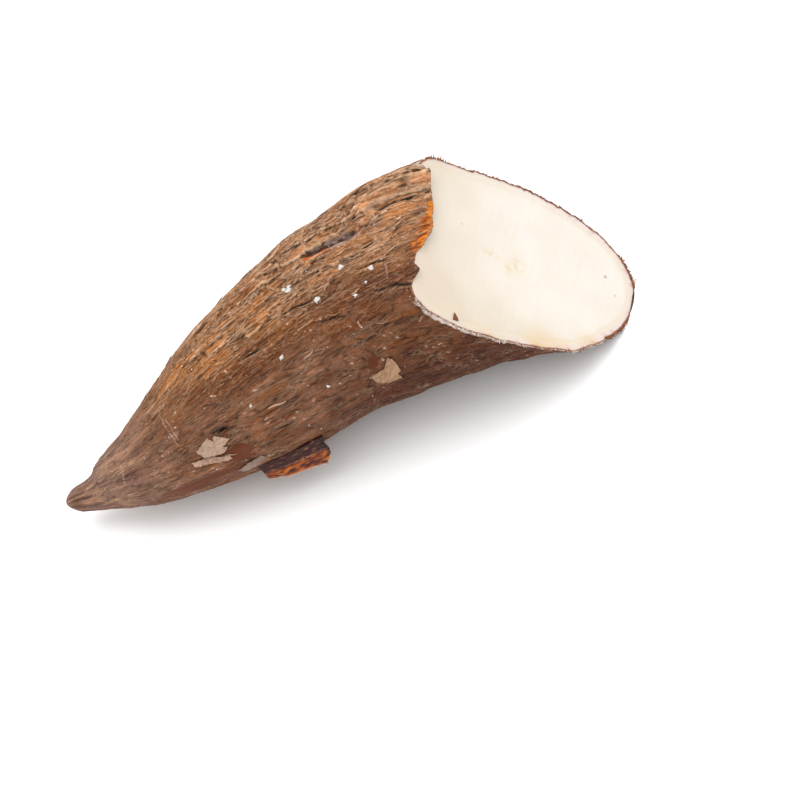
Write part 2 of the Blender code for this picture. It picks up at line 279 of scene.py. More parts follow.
def scattered(points, sizes, seed):
    """The cell round each point in a seeded pattern of scattered middles, in a space with those unit sizes.

    Returns the distance to the cell's border in metres, the cell's own number from 0 to 1, and the way to
    its middle."""
    home = np.floor(points).astype(np.int64)
    shape = points.shape[:-1]
    best, second, own = np.full(shape, 1e3), np.full(shape, 1e3), np.zeros(shape)
    way, other = np.zeros(points.shape), np.ones(points.shape)
    for step in np.ndindex(3, 3, 3):
        cell = home + np.array(step) - 1
        draw = lattice(cell, seed)
        toward = cell + 0.5 + 0.45 * draw - points
        away = np.sum(toward ** 2, axis=-1)
        nearest = away < best
        other = np.where(nearest[..., None], way, np.where((away < second)[..., None], toward, other))
        second = np.where(nearest, best, np.minimum(second, away))
        way = np.where(nearest[..., None], toward, way)
        own = np.where(nearest, (7.3 * draw[..., 0] + 5.1 * draw[..., 1]) % 1, own)
        best = np.minimum(best, away)
    slope = np.linalg.norm((way - other) / sizes, axis=-1)
    return 0.5 * (second - best) / np.maximum(slope, 1e-9), own, way


def flakes(station, angle, along, across, seed, bend, twist=0.0):
    """A pattern of flakes of that length and width, bent by noise.

    Returns the distance to the flake's border in metres, its own number from 0 to 1, and how far down the
    flake the spot is, about -0.5 at its upper side to 0.5 at its lower side."""
    place = grain(station, angle, along, across, twist)
    rough = grain(station, angle, 2.0 * along, 3.5 * across, twist)
    place = place + bend * np.stack([noise(rough, seed + k) for k in range(3)], axis=-1)
    gap, own, way = scattered(place, np.array((along, across, across)), seed)
    turned = angle - twist * station
    down = way[..., 1] * np.sin(turned) - way[..., 2] * np.cos(turned)
    return gap, own, down


# ---- bark: fine relief
# Patterns of flakes: length and width in metres, seed, bend and twist.
FLAKE_PATTERN = (0.0090, 0.0026, 31, 0.95)
CHIP_PATTERN = (0.0040, 0.0011, 41, 0.80)
WRINKLE_PATTERN = (0.0068, 0.0018, 45, 0.80, 0.5)
FLAKE_STEP = 0.00042
CHIP_STEP = 0.00022
WRINKLE_DEPTH = 0.00022
LUMP_HEIGHT = 0.00045
GRIT_HEIGHT = 0.00008
TIP_LUMPS = 0.00045
# In the tables of places on the bark, the angles and turns are in degrees and the lengths are in stations.
# Gentle swells and dips: station, angle, half length, half turn, and height in metres.
HUMPS = in_radians((1, 3), (
    (0.085, 60, 0.028, 50, 0.0011),
    (0.550, 46, 0.045, 18, 0.0009),
    (0.655, 47, 0.035, 18, -0.0008),
    (0.775, 48, 0.030, 14, 0.0010),
    (0.540, 195, 0.070, 24, -0.0010),
))
CRACK_WIDTH = 0.00036
# The stretch over which a crack closes at each end, in stations.
CRACK_END = 0.012
# The flaking is strongest on top of the root and fades out towards both sides.
TOP_ANGLE = radians(48)
TOP_FADE = (radians(34), radians(74))
# The lower border of the flaking upper bark, on the near side, and its border on the far side.
FLAKY_BORDER = radians(134)
FLAKY_BORDER_STATION = 0.70
FLAKY_BORDER_TURN = radians(38)
FLAKY_FAR_BORDER = radians(-28)
# Long dark cracks: first and last station, angle at the first, turn along it, and depth in metres.
CRACKS = in_radians((2, 3), (
    (0.714, 0.860, 62.0, -5.0, 0.0012),
    (0.698, 0.765, 68.5, 3.5, 0.0012),
    (0.780, 0.880, 80.0, -4.0, 0.0008),
    (0.560, 0.610, 76.0, 4.0, 0.0008),
    (0.470, 0.560, 97.0, 6.0, 0.0007),
    (0.630, 0.700, 99.0, 8.0, 0.0009),
    (0.640, 0.720, 120.0, 6.0, 0.0008),
    (0.520, 0.600, 118.0, 8.0, 0.0006),
    (0.380, 0.440, 106.0, 5.0, 0.0006),
    (0.285, 0.325, 139.0, 4.0, 0.0009),
    (0.238, 0.292, 152.5, 8.0, 0.0011),
    (0.560, 0.700, 20.0, 5.0, 0.0009),
    (0.400, 0.520, -12.0, -6.0, 0.0008),
    (0.640, 0.760, -40.0, 6.0, 0.0008),
    (0.500, 0.590, 38.0, -4.0, 0.0007),
))


def flaky(station, angle):
    """1 on the flaking upper bark, 0 on the smoother lower bark, with a ragged edge between."""
    ragged = 0.12 * bark_noise(station, angle, 0.016, 0.009, 3)
    ragged = ragged + 0.09 * bark_noise(station, angle, 0.004, 0.0025, 4)
    turned = around(angle - math.pi / 2) + math.pi / 2 + ragged
    border = FLAKY_BORDER + FLAKY_BORDER_TURN * (station - FLAKY_BORDER_STATION)
    near = 1 - ease(turned - border, radians(-5), radians(5))
    far = ease(turned - FLAKY_FAR_BORDER, radians(-8), radians(8))
    return near * far * ease(station, 0.10, 0.40)


# Places where the rough skin has come off and the bark is smooth: station, angle, half length, half turn.
SMOOTH_PLACES = in_radians((1, 3), (
    (0.232, 184, 0.085, 11),
    (0.308, 167, 0.020, 9),
    (0.580, 157, 0.013, 4),
    (0.420, -35, 0.070, 12),
    (0.660, 218, 0.080, 10),
    (0.800, -50, 0.050, 9),
))


def smooth_skin(station, angle):
    """1 where the rough skin has come off, with a ragged edge."""
    nearest = np.full(np.broadcast(station, angle).shape, 9.0)
    for place in SMOOTH_PLACES:
        nearest = np.minimum(nearest, spot_distance(station, angle, *place))
    ragged = 0.35 * bark_noise(station, angle, 0.005, 0.0025, 23)
    ragged = ragged + 0.30 * bark_noise(station, angle, 0.0018, 0.0012, 24)
    return 1 - ease(np.sqrt(nearest) + ragged, 0.92, 1.08)


def crack_mask(station, angle):
    """Depth of the long cracks, in metres."""
    depth = np.zeros(np.broadcast(station, angle).shape)
    wobble = 0.034 * bark_noise(station, angle, 0.005, 0.005, 21)
    for first, last, at, turn, deep in CRACKS:
        share = (station - first) / (last - first)
        middle = at + turn * share
        thin = 0.35 + 0.65 * np.sin(math.pi * np.clip(share, 0, 1))
        away = around(angle - middle + wobble) * girth(station) / (CRACK_WIDTH * thin)
        ends = between(station, first, first + CRACK_END, last - CRACK_END, last)
        depth = np.maximum(depth, deep * thin * ends * np.exp(-away ** 2))
    return depth


def bark_detail(station, angle):
    """The bark's fine relief in metres, and its marks.

    The marks are the painted highlights on its open flake edges, the painted shade in its gaps, wrinkles and
    cracks, its flaking, smoothness and the tone of each flake."""
    texture = partial(bark_noise, station, angle)
    alive = ease(station, 0.0, 0.06)
    ripe = ease(station, 0.08, 0.30)
    flake = flaky(station, angle)
    top = 1 - ease(np.abs(around(angle - TOP_ANGLE)), *TOP_FADE)
    patchy = ease(texture(0.014, 0.006, 35), -0.5, 0.2)
    strength = flake * (0.30 + 0.70 * top) * (0.35 + 0.65 * patchy)
    smooth = smooth_skin(station, angle)
    strength = strength * (1 - smooth)

    # Flakes, with painted highlights on their lower edges that stand open and painted shadow in the gaps
    # under them.
    gap, own, down = flakes(station, angle, *FLAKE_PATTERN)
    open_edge = 0.25 + 0.75 * ease(texture(0.008, 0.003, 36), -0.45, 0.15)
    pale = (1 - ease(gap, 0.00012, 0.00048)) * ease(down, 0.02, 0.30) * open_edge
    shaded_gaps = (1 - ease(gap, 0.00006, 0.00034)) * (1 - ease(down, -0.25, 0.08)) * open_edge
    relief = FLAKE_STEP * (0.9 * down + 0.6 * (own - 0.5) - 0.5 * shaded_gaps) * strength
    tone = (own - 0.5) * strength

    # Chips on the flakes, fewer on the bark around them, with painted highlights and painted shade along
    # their borders.
    gap, own, down = flakes(station, angle, *CHIP_PATTERN)
    small = (0.25 + 0.75 * flake) * (1 - smooth)
    border = 0.45 * (1 - ease(gap, 0.00005, 0.00025))
    pale = pale * strength + border * ease(down, 0.05, 0.30) * small
    shaded_gaps = shaded_gaps * strength + border * (1 - ease(down, -0.2, 0.1)) * small
    relief += CHIP_STEP * (down + 0.7 * (own - 0.5)) * small * alive
    tone = tone + 0.6 * (own - 0.5) * small

    # Wrinkles, mostly on the bark that doesn't flake, with painted shade in them.
    gap, own, down = flakes(station, angle, *WRINKLE_PATTERN)
    broken = ease(texture(0.0040, 0.002, 46), -0.25, 0.3) * (1 - smooth)
    wrinkle = (1 - ease(gap, 0.00005, 0.00032)) * broken * (1 - 0.8 * flake) * (0.6 + 0.4 * ripe)
    relief -= WRINKLE_DEPTH * wrinkle
    shaded_gaps = np.maximum(shaded_gaps, 0.72 * wrinkle)
    tone = tone + 0.35 * (own - 0.5) * (1 - flake) * (1 - smooth)

    # Lumps, swells, grit and cracks, with painted shade in the cracks.
    relief += LUMP_HEIGHT * texture(0.009, 0.005, 51) * (0.35 + 0.65 * ripe)
    relief += TIP_LUMPS * texture(0.0055, 0.0035, 53) * alive * (1 - ease(station, 0.10, 0.24))
    for *place, height in HUMPS:
        relief = relief + height * np.exp(-spot_distance(station, angle, *place))
    relief += GRIT_HEIGHT * texture(0.0014, 0.0009, 52) * alive * (1 - smooth)
    relief -= SINK * ease(station, *SINK_STATIONS)
    cracks = crack_mask(station, angle)
    relief -= cracks
    shaded_gaps = np.maximum(shaded_gaps, ease(cracks, 0.0001, 0.0005))
    belly = ease(np.abs(around(angle - BELLY_ANGLE)), 0.20, 0.55)
    relief = relief * (0.25 + 0.75 * belly)
    marks = {"pale": np.clip(pale, 0, 1) * alive, "shaded_gaps": np.clip(shaded_gaps, 0, 1) * alive, "tone": tone}
    marks.update(flake=flake, top=top, smooth=smooth)
    return relief, marks


# ---- bark: colour
# How bright a white surface that faces the camera shows under this studio's light, and the sheen on top.
STUDIO_GAIN = 1.38
STUDIO_SHEEN = 0.024


def shown(red, green, blue):
    """Linear colour of a surface that shows these display values, 0 to 255, under the studio's light."""
    display = np.array((red, green, blue)) / 255
    linear = np.where(display <= 0.04045, display / 12.92, ((display + 0.055) / 1.055) ** 2.4)
    return np.maximum(linear - STUDIO_SHEEN * (1 - linear), 0.002) / STUDIO_GAIN


BARK_BROWN = shown(108, 66, 40)
BARK_TAN = shown(188, 132, 94)
BARK_SHOULDER = shown(156, 100, 60)
BARK_GREY = shown(142, 104, 84)
BARK_DEEP = shown(82, 50, 32)
BARK_RED = shown(118, 72, 48)
BARK_PAINTED_SHEEN = shown(150, 126, 114)
BARK_AMBER = shown(184, 116, 58)
BARK_DARK = shown(46, 26, 16)
BARK_HIGHLIGHT = shown(228, 184, 148)
SPECK_PALE = shown(226, 196, 180)
TIP_GREY = shown(152, 122, 110)
TIP_TAN = shown(184, 142, 112)
TIP_BROWN = shown(92, 64, 50)
SKIN_RED = shown(104, 62, 46)
SCAR_GREY = shown(124, 102, 94)
SCAR_DARK = shown(74, 54, 44)
SCAR_PAINTED_GLINT = shown(196, 180, 176)
SCAR_ORANGE = shown(190, 92, 46)
SCAR_PINK = shown(190, 158, 150)
TORN_ORANGE = shown(222, 132, 52)
TORN_RED = shown(150, 74, 36)
PEELED_CREAM = shown(246, 232, 212)
TORN_WHITE = shown(232, 214, 204)
# Where the painted shade on the underside starts, is full, fades and ends, round the root.
SHADED_UNDERSIDE = [radians(degrees) for degrees in (136, 185, 300, 350)]
# Broad stains: station, angle, half length, half turn, and strength.
AMBER_STAINS = in_radians((1, 3), (
    (0.340, 77, 0.080, 13, 0.90),
    (0.626, 66, 0.022, 3.5, 0.95),
    (0.470, 90, 0.050, 12, 0.50),
    (0.730, 74, 0.030, 6, 0.60),
    (0.640, 82, 0.030, 5, 0.60),
    (0.470, -20, 0.060, 14, 0.40),
))
# Dark patches of bark; the first of them is a painted shadow in the recess beside the lifted edge of the
# first papery flake.
DEEP_STAINS_AND_SHADOW = in_radians((1, 3), (
    (0.307, 141, 0.016, 5, 0.95),
    (0.560, 104, 0.060, 9, 0.50),
    (0.700, 122, 0.055, 6, 0.70),
    (0.600, 132, 0.050, 6, 0.45),
    (0.380, 112, 0.050, 9, 0.30),
    (0.020, 150, 0.012, 40, 0.60),
    (0.628, 93, 0.008, 2, 0.90),
    (0.150, 128, 0.030, 9, 0.45),
    (0.200, 112, 0.025, 12, 0.35),
))
# Thin pale lines across the grain: first station and angle, last station and angle, half width in metres.
SCRATCHES = in_radians((1, 3), (
    (0.706, 66, 0.672, 99, 0.00034),
    (0.241, 90, 0.237, 131, 0.00018),
    (0.246, 100, 0.243, 128, 0.00014),
    (0.205, 122, 0.225, 134, 0.00016),
    (0.690, 100, 0.676, 118, 0.00018),
    (0.140, 112, 0.128, 140, 0.00022),
))


def blend(under, over, share):
    """The colour under, covered by the colour over as far as the share says at each place."""
    return under + (over - under) * np.clip(share, 0, 1)[..., None]


def cover(colour, *layers):
    """The colour under a pile of layers, each with its own colour and share."""
    for over, share in layers:
        colour = blend(colour, over, share)
    return colour


def stain(station, angle, stains):
    """How strongly a set of broad soft patches shows, 0 to 1."""
    total = np.zeros(np.broadcast(station, angle).shape)
    for *place, strength in stains:
        total = np.maximum(total, strength * np.exp(-spot_distance(station, angle, *place)))
    return total


def scratch_mask(station, angle):
    """1 along the thin pale lines, broken up by noise."""
    total = np.zeros(np.broadcast(station, angle).shape)
    wobble = 0.00025 * bark_noise(station, angle, 0.004, 0.0018, 74)
    broken = ease(bark_noise(station, angle, 0.0012, 0.0011, 75), -0.25, 0.25)
    for first, first_turn, last, last_turn, half in SCRATCHES:
        share = around(angle - first_turn) / (last_turn - first_turn)
        away = (station - first - (last - first) * share) * SPINE_LENGTH + wobble
        ends = between(share, 0.0, 0.08, 0.92, 1.0)
        total = np.maximum(total, ends * np.exp(-(away / half) ** 2))
    return total * (0.35 + 0.65 * broken)


def bark_colour(station, angle, marks, raised):
    """Colour of the bark, from broad zones and stains down to the painted highlights on the edges and the
    painted shadow in the gaps of its flakes.
    """
    texture = partial(bark_noise, station, angle)
    flake, top, smooth = marks["flake"], marks["top"], marks["smooth"]
    broad = texture(0.024, 0.012, 61)
    patch = texture(0.009, 0.004, 62)
    streak = texture(0.012, 0.0020, 63, 0.6)
    fine = texture(0.0030, 0.0008, 64)
    mottle = texture(0.0015, 0.0012, 65)
    dry = blend(BARK_SHOULDER, BARK_TAN, ease(station + 0.05 * broad, 0.46, 0.58))
    grey = (1 - flake) * (1 - 0.45 * ease(station, 0.50, 0.62))
    # Painted shade on the underside, growing from about a third along the root towards the cut.
    under = between(whole_turn(angle), *SHADED_UNDERSIDE) * ease(station, 0.34, 0.60)
    amber = 0.06 + stain(station, angle, AMBER_STAINS)
    # Painted sheen: a greyish band round the upper far side, where the bark turns away from the camera.
    outline_sheen = (1 - ease(angle + 0.08 * broad, radians(47), radians(62))) * ease(angle, radians(10), radians(35))
    tip = 1 - ease(station, 0.07, 0.26)
    colour = cover(
        BARK_BROWN,
        (dry, flake * top * (0.80 + 0.55 * patch + 0.35 * streak)),
        (BARK_GREY, grey * (0.75 + 0.55 * patch + 0.2 * mottle)),
        (BARK_RED, (1 - top) * ease(streak + 0.5 * broad, 0.05, 0.7) * 0.60),
        (BARK_DEEP, under * (0.80 + 0.35 * streak)),
        (BARK_AMBER, amber * ease(streak + 0.9 * patch, -0.45, 0.25)),
        (BARK_PAINTED_SHEEN, 0.55 * outline_sheen * ease(station, 0.20, 0.35)),
        (TIP_GREY, 0.80 * tip),
        (TIP_TAN, tip * ease(patch + 0.6 * broad, 0.0, 0.5) * 0.65),
        (TIP_BROWN, tip * ease(-patch - 0.5 * mottle, 0.15, 0.7) * 0.50),
        (BARK_DEEP, stain(station, angle, DEEP_STAINS_AND_SHADOW) * (0.85 + 0.4 * mottle)),
        (SKIN_RED * (1 + 0.25 * streak + 0.15 * broad)[..., None], 0.92 * smooth),
    )
    rough = 1 - 0.6 * smooth
    tone = 0.55 * marks["tone"] + 0.13 * fine + 0.10 * streak + 0.12 * mottle
    colour = colour * (1 + 0.14 * broad + 0.12 * patch)[..., None] * (1 + tone * rough)[..., None]
    # Painted highlights on the open flake edges and on raised bits, painted shade in the gaps and in hollows.
    lit = 0.75 * marks["pale"] * (0.40 + 0.60 * top) + 0.35 * ease(raised, 0.00008, 0.00035) * flake
    speck = ease(texture(0.0011, 0.0009, 66), 0.56, 0.72) * ease(patch + 0.5 * broad, -0.1, 0.4)
    colour = cover(
        colour,
        (BARK_HIGHLIGHT, lit),
        (BARK_DARK, 0.80 * marks["shaded_gaps"] + 0.55 * ease(-raised, 0.00010, 0.00045) * rough),
        (SPECK_PALE, 0.75 * speck * rough),
        (SPECK_PALE, 0.45 * scratch_mask(station, angle)),
    )
    return np.clip(scar_colour(colour, station, angle, fine + mottle), 0.003, 0.95)


def scar_colour(colour, station, angle, rough):
    """The healed slit: dark and mottled, with painted glassy highlight streaks on its upper side, and an
    orange and then a pinkish lower side.
    """
    slit = scar(station, angle)
    below = scar_turn(station, angle) / SCAR_HALF_WIDTH
    share = (station - SCAR_STATIONS[0]) / (SCAR_STATIONS[1] - SCAR_STATIONS[0])
    rim = ease(slit, 0.04, 0.16) * ease(below, 0.2, 0.8)
    colour = blend(colour, SCAR_ORANGE, rim * (1 - ease(share, 0.35, 0.6)))
    colour = blend(colour, SCAR_PINK, rim * ease(share, 0.35, 0.6) * ease(rough, -0.4, 0.2))
    streak = bark_noise(station, angle, 0.0030, 0.00045, 76, 0.6)
    mixed = blend(SCAR_DARK, SCAR_GREY, ease(rough + 0.5 * share, 0.0, 0.7))
    # Painted highlight: glassy streaks on the upper side of the slit.
    mixed = blend(mixed, SCAR_PAINTED_GLINT, ease(streak, 0.25, 0.6) * ease(-below, -0.4, 0.5))
    return blend(colour, mixed, ease(slit + 0.15 * streak, 0.30, 0.48))


RIM_RAGGED = 0.0010
# How far the torn orange bark reaches back from the cut.
TORN_ANGLES = tuple(radians(a) for a in (72, 80, 88, 97, 105, 109))
TORN_REACH = (0.0, 0.0020, 0.0030, 0.0054, 0.0046, 0.0)
WHITE_RIM = (radians(134), radians(238))


def rim_colour(colour, station, angle, edge_station):
    """The torn orange bark, the bared cream patch and the whitish torn rim beside the cut."""
    left = (edge_station - station) * SPINE_LENGTH
    ragged = RIM_RAGGED * bark_noise(station, angle, 0.0025, 0.0018, 71)
    fine = bark_noise(station, angle, 0.0016, 0.0009, 73)
    reach = np.interp(angle, TORN_ANGLES, TORN_REACH)
    torn = (1 - ease(left + ragged, 0.55 * reach, reach + 0.0002)) * ease(reach, 0.0002, 0.0012)
    colour = blend(colour, TORN_RED, 0.85 * torn)
    colour = blend(colour, TORN_ORANGE, torn * ease(fine + 0.0008 / (np.abs(left) + 0.0006), 0.1, 0.7))
    bared = 1 - ease(np.abs(around(angle - radians(54))), radians(3), radians(6))
    colour = blend(colour, PEELED_CREAM, bared * (1 - ease(left + ragged, 0.0006, 0.0016)))
    first, last = WHITE_RIM
    lower = between(whole_turn(angle), first, first + 0.1, last - 0.2, last)
    white = lower * (1 - ease(left + 0.8 * ragged, 0.0008, 0.0014))
    broken = ease(bark_noise(station, angle, 0.0016, 0.0012, 72), -0.75, -0.25)
    return blend(colour, TORN_WHITE * (1 + 0.12 * fine)[..., None], 0.95 * white * broken)


# ---- mesh helpers
def grid_faces(rows, columns, closed):
    """Quads of a grid of rows by columns, joined round into a tube where closed."""
    steps = columns if closed else columns - 1
    row, column = np.meshgrid(np.arange(rows - 1), np.arange(steps), indexing="ij")
    here = row * columns + column
    beside = row * columns + (column + 1) % columns
    return np.stack([here, beside, beside + columns, here + columns], axis=-1).reshape(-1, 4)


def capped_tube(rows, columns, flipped=False):
    """Faces of a tube of rows by columns with both ends closed, turned over where flipped."""
    last = (rows - 1) * columns
    faces = grid_faces(rows, columns, True).tolist()
    faces += [list(reversed(range(columns))), list(range(last, last + columns))]
    return [face[::-1] for face in faces] if flipped else faces


def grid_normals(points):
    """Shading directions of a grid that closes round, the same on both sides of a join between pieces."""
    along = np.gradient(points, axis=0)
    across = np.roll(points, -1, axis=1) - np.roll(points, 1, axis=1)
    normal = np.cross(across, along)
    return normal / np.maximum(np.linalg.norm(normal, axis=-1, keepdims=True), 1e-12)


def grid_blur(field, reach):
    """Each value's mean over a square of neighbours, on a grid that closes round."""
    rows = np.arange(len(field))
    total = sum(field[np.clip(rows + step, 0, len(field) - 1)] for step in range(-reach, reach + 1))
    wide = sum(np.roll(total, step, axis=1) for step in range(-reach, reach + 1))
    return wide / (2 * reach + 1) ** 2


def add_object(name, data):
    """A new object in the scene."""
    thing = bpy.data.objects.new(name, data)
    bpy.context.scene.collection.objects.link(thing)
    return thing


def add_vectors(mesh, name, vectors):
    """An attribute of the mesh with a vector for each of its points."""
    field = mesh.attributes.new(name, "FLOAT_VECTOR", "POINT")
    field.data.foreach_set("vector", vectors.astype(np.float32).ravel())


def add_piece(name, points, faces, material, slot, colours, grains=None, normals=None, kinds=None):
    """A mesh piece in the frame's own place, riding on the root."""
    mesh = bpy.data.meshes.new(name)
    mesh.from_pydata(np.reshape(points, (-1, 3)), [], [tuple(face) for face in faces])
    mesh.shade_smooth()
    tint = mesh.color_attributes.new("tint", "FLOAT_COLOR", "POINT")
    rgba = np.concatenate([np.reshape(colours, (-1, 3)), np.ones((len(mesh.vertices), 1))], axis=1)
    tint.data.foreach_set("color", rgba.astype(np.float32).ravel())
    add_vectors(mesh, "grain", points if grains is None else grains)
    if kinds is not None:
        add_vectors(mesh, "kind", kinds)
    if normals is not None:
        mesh.normals_split_custom_set_from_vertices(np.reshape(normals, (-1, 3)))
    mesh.materials.append(material)
    piece = add_object(name, mesh)
    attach(piece, BODY)
    return piece


def closed_sheet(outer, inner):
    """Places and faces of a closed thin sheet between two grids of the same size."""
    rows, columns = outer.shape[:2]
    points = np.concatenate([outer, inner[:, ::-1]], axis=1)
    faces = grid_faces(rows, 2 * columns, True).tolist()
    last = (rows - 1) * 2 * columns
    for k in range(columns - 1):
        under = 2 * columns - 1 - k
        faces.append((k + 1, k, under, under - 1))
        faces.append((last + k, last + k + 1, last + under - 1, last + under))
    return points.reshape(-1, 3), faces


def sliver(path, widths, thick, side):
    """Places and faces of a flattened closed strand along a path."""
    ahead = unit(np.gradient(path, axis=0))
    wide = unit(side - np.sum(side * ahead, axis=-1, keepdims=True) * ahead)
    up = np.cross(ahead, wide)
    across = wide * np.reshape(widths, (-1, 1))
    rise = up * np.minimum(thick, np.reshape(widths, (-1, 1)))
    rings = np.stack([path + across, path + rise, path - across, path - rise], axis=1)
    return rings.reshape(-1, 3), capped_tube(len(path), 4)


def blob(middle, out, half_wide, half_tall, seed):
    """Places and faces of a lumpy closed drop lying on the bark."""
    rows, columns = 9, 14
    turns = np.arange(columns) * 2 * math.pi / columns
    polar, turn = np.meshgrid(np.linspace(0.12, math.pi - 0.12, rows), turns, indexing="ij")
    side = unit(np.cross(out, UP + 0.3))
    fore = np.cross(out, side)
    ball = (np.sin(polar) * np.cos(turn))[..., None] * side + (np.sin(polar) * np.sin(turn))[..., None] * fore
    lumpy = 1 + 0.45 * noise(1.7 * ball + np.cos(polar)[..., None] * out + seed, 92)
    points = middle + half_wide * lumpy[..., None] * ball
    points = points + (half_tall * lumpy * np.cos(polar))[..., None] * out
    return points.reshape(-1, 3), capped_tube(rows, columns, flipped=True)


class Bundle:
    """Many small closed solids gathered into one piece."""

    def __init__(self):
        self.points = []
        self.faces = []
        self.colours = []
        self.count = 0

    def add(self, solid, colour):
        points, faces = solid
        self.points.append(points)
        self.faces += [tuple(self.count + k for k in face) for face in faces]
        self.colours.append(np.broadcast_to(colour, points.shape))
        self.count += len(points)

    def make(self, name, material, slot):
        return add_piece(name, np.vstack(self.points), self.faces, material, slot, np.vstack(self.colours))


# ---- materials
class Nodes:
    """A short way to add and join shader nodes."""

    def __init__(self, name):
        self.material = bpy.data.materials.new(name)
        self.material.use_nodes = True
        self.tree = self.material.node_tree
        self.shader = self.tree.nodes["Principled BSDF"]

    def add(self, kind, inputs=None, **settings):
        node = self.tree.nodes.new(kind)
        for key, value in settings.items():
            setattr(node, key, value)
        for key, value in (inputs or {}).items():
            self.set(node, key, value)
        return node

    def set(self, node, key, value):
        if isinstance(value, bpy.types.NodeSocket):
            self.tree.links.new(value, node.inputs[key])
        else:
            node.inputs[key].default_value = value

    def attribute(self, name, output="Vector"):
        return self.add("ShaderNodeAttribute", attribute_name=name).outputs[output]

    def tint(self):
        """The colour that the mesh carries."""
        return self.attribute("tint", "Color")

    def place(self):
        """The place on the object, in metres."""
        return self.add("ShaderNodeTexCoord").outputs["Object"]

    def noise(self, place, scale, detail=4.0, rough=0.6):
        return self.add(
            "ShaderNodeTexNoise", {"Vector": place, "Scale": scale, "Detail": detail, "Roughness": rough}
        ).outputs["Fac"]

    def scaled(self, place, factors):
        return self.add("ShaderNodeMapping", {"Vector": place, "Scale": factors}).outputs["Vector"]

    def remap(self, value, low, high, to_low, to_high):
        inputs = {"Value": value, "From Min": low, "From Max": high, "To Min": to_low, "To Max": to_high}
        return self.add("ShaderNodeMapRange", inputs).outputs["Result"]

    def vary(self, noise_value, low, high):
        """A noise's middle range spread from low to high."""
        return self.remap(noise_value, 0.3, 0.7, low, high)

    def math(self, operation, first, second):
        return self.add("ShaderNodeMath", {0: first, 1: second}, operation=operation).outputs[0]

    times = partialmethod(math, "MULTIPLY")
    plus = partialmethod(math, "ADD")
    minus = partialmethod(math, "SUBTRACT")
    larger = partialmethod(math, "MAXIMUM")

    def split(self, vector):
        return self.add("ShaderNodeSeparateXYZ", {"Vector": vector}).outputs

    def cells(self, place, scale, bend, width, shift):
        """Long cells bent by noise: their borders, the same a small shift away, and each cell's tone."""
        scaled = self.scaled(place, scale)
        wave = self.add("ShaderNodeTexNoise", {"Vector": scaled, "Scale": 0.35, "Detail": 2.0})
        wave = wave.outputs["Color"]
        bent = self.vector("MULTIPLY_ADD", {0: wave, 1: (bend, bend, bend), 2: scaled})
        broken = self.remap(self.noise(scaled, 0.55, 1.0, 0.5), 0.42, 0.58, 0.0, 1.0)
        borders = []
        for spot in (bent, self.vector("ADD", {0: bent, 1: shift})):
            gap = self.add("ShaderNodeTexVoronoi", {"Vector": spot, "Scale": 1.0}, feature="DISTANCE_TO_EDGE")
            border = self.remap(gap.outputs["Distance"], 0.2 * width, width, 1.0, 0.0)
            borders.append(self.times(border, broken))
        tone = self.add("ShaderNodeTexVoronoi", {"Vector": bent, "Scale": 1.0}).outputs["Color"]
        return *borders, self.split(tone)[0]

    def vector(self, operation, inputs):
        return self.add("ShaderNodeVectorMath", inputs, operation=operation).outputs["Vector"]

    def mix(self, first, second, share, way="MIX"):
        inputs = {0: share, 6: first, 7: second}
        return self.add("ShaderNodeMix", inputs, data_type="RGBA", blend_type=way).outputs[2]

    def multiply(self, colour, factor):
        return self.mix(colour, factor, 1.0, "MULTIPLY")

    def bump(self, height, depth, strength, under=None):
        inputs = {"Height": height, "Distance": depth, "Strength": strength}
        if under is not None:
            inputs["Normal"] = under
        return self.add("ShaderNodeBump", inputs).outputs["Normal"]

    def finish(self, **sockets):
        for key, value in sockets.items():
            self.set(self.shader, key.replace("_", " "), value)
        return self.material


# Fine flakes and wrinkles: cells to the metre each way, bend, border width and the shift of the painted
# highlights beside their borders.
FINE_FLAKES = ((230, 820, 820), 2.0, 0.13, (0.0, -0.22, -0.10))
FINE_WRINKLES = ((300, 900, 900), 2.1, 0.20, (0.0, -0.22, -0.18))


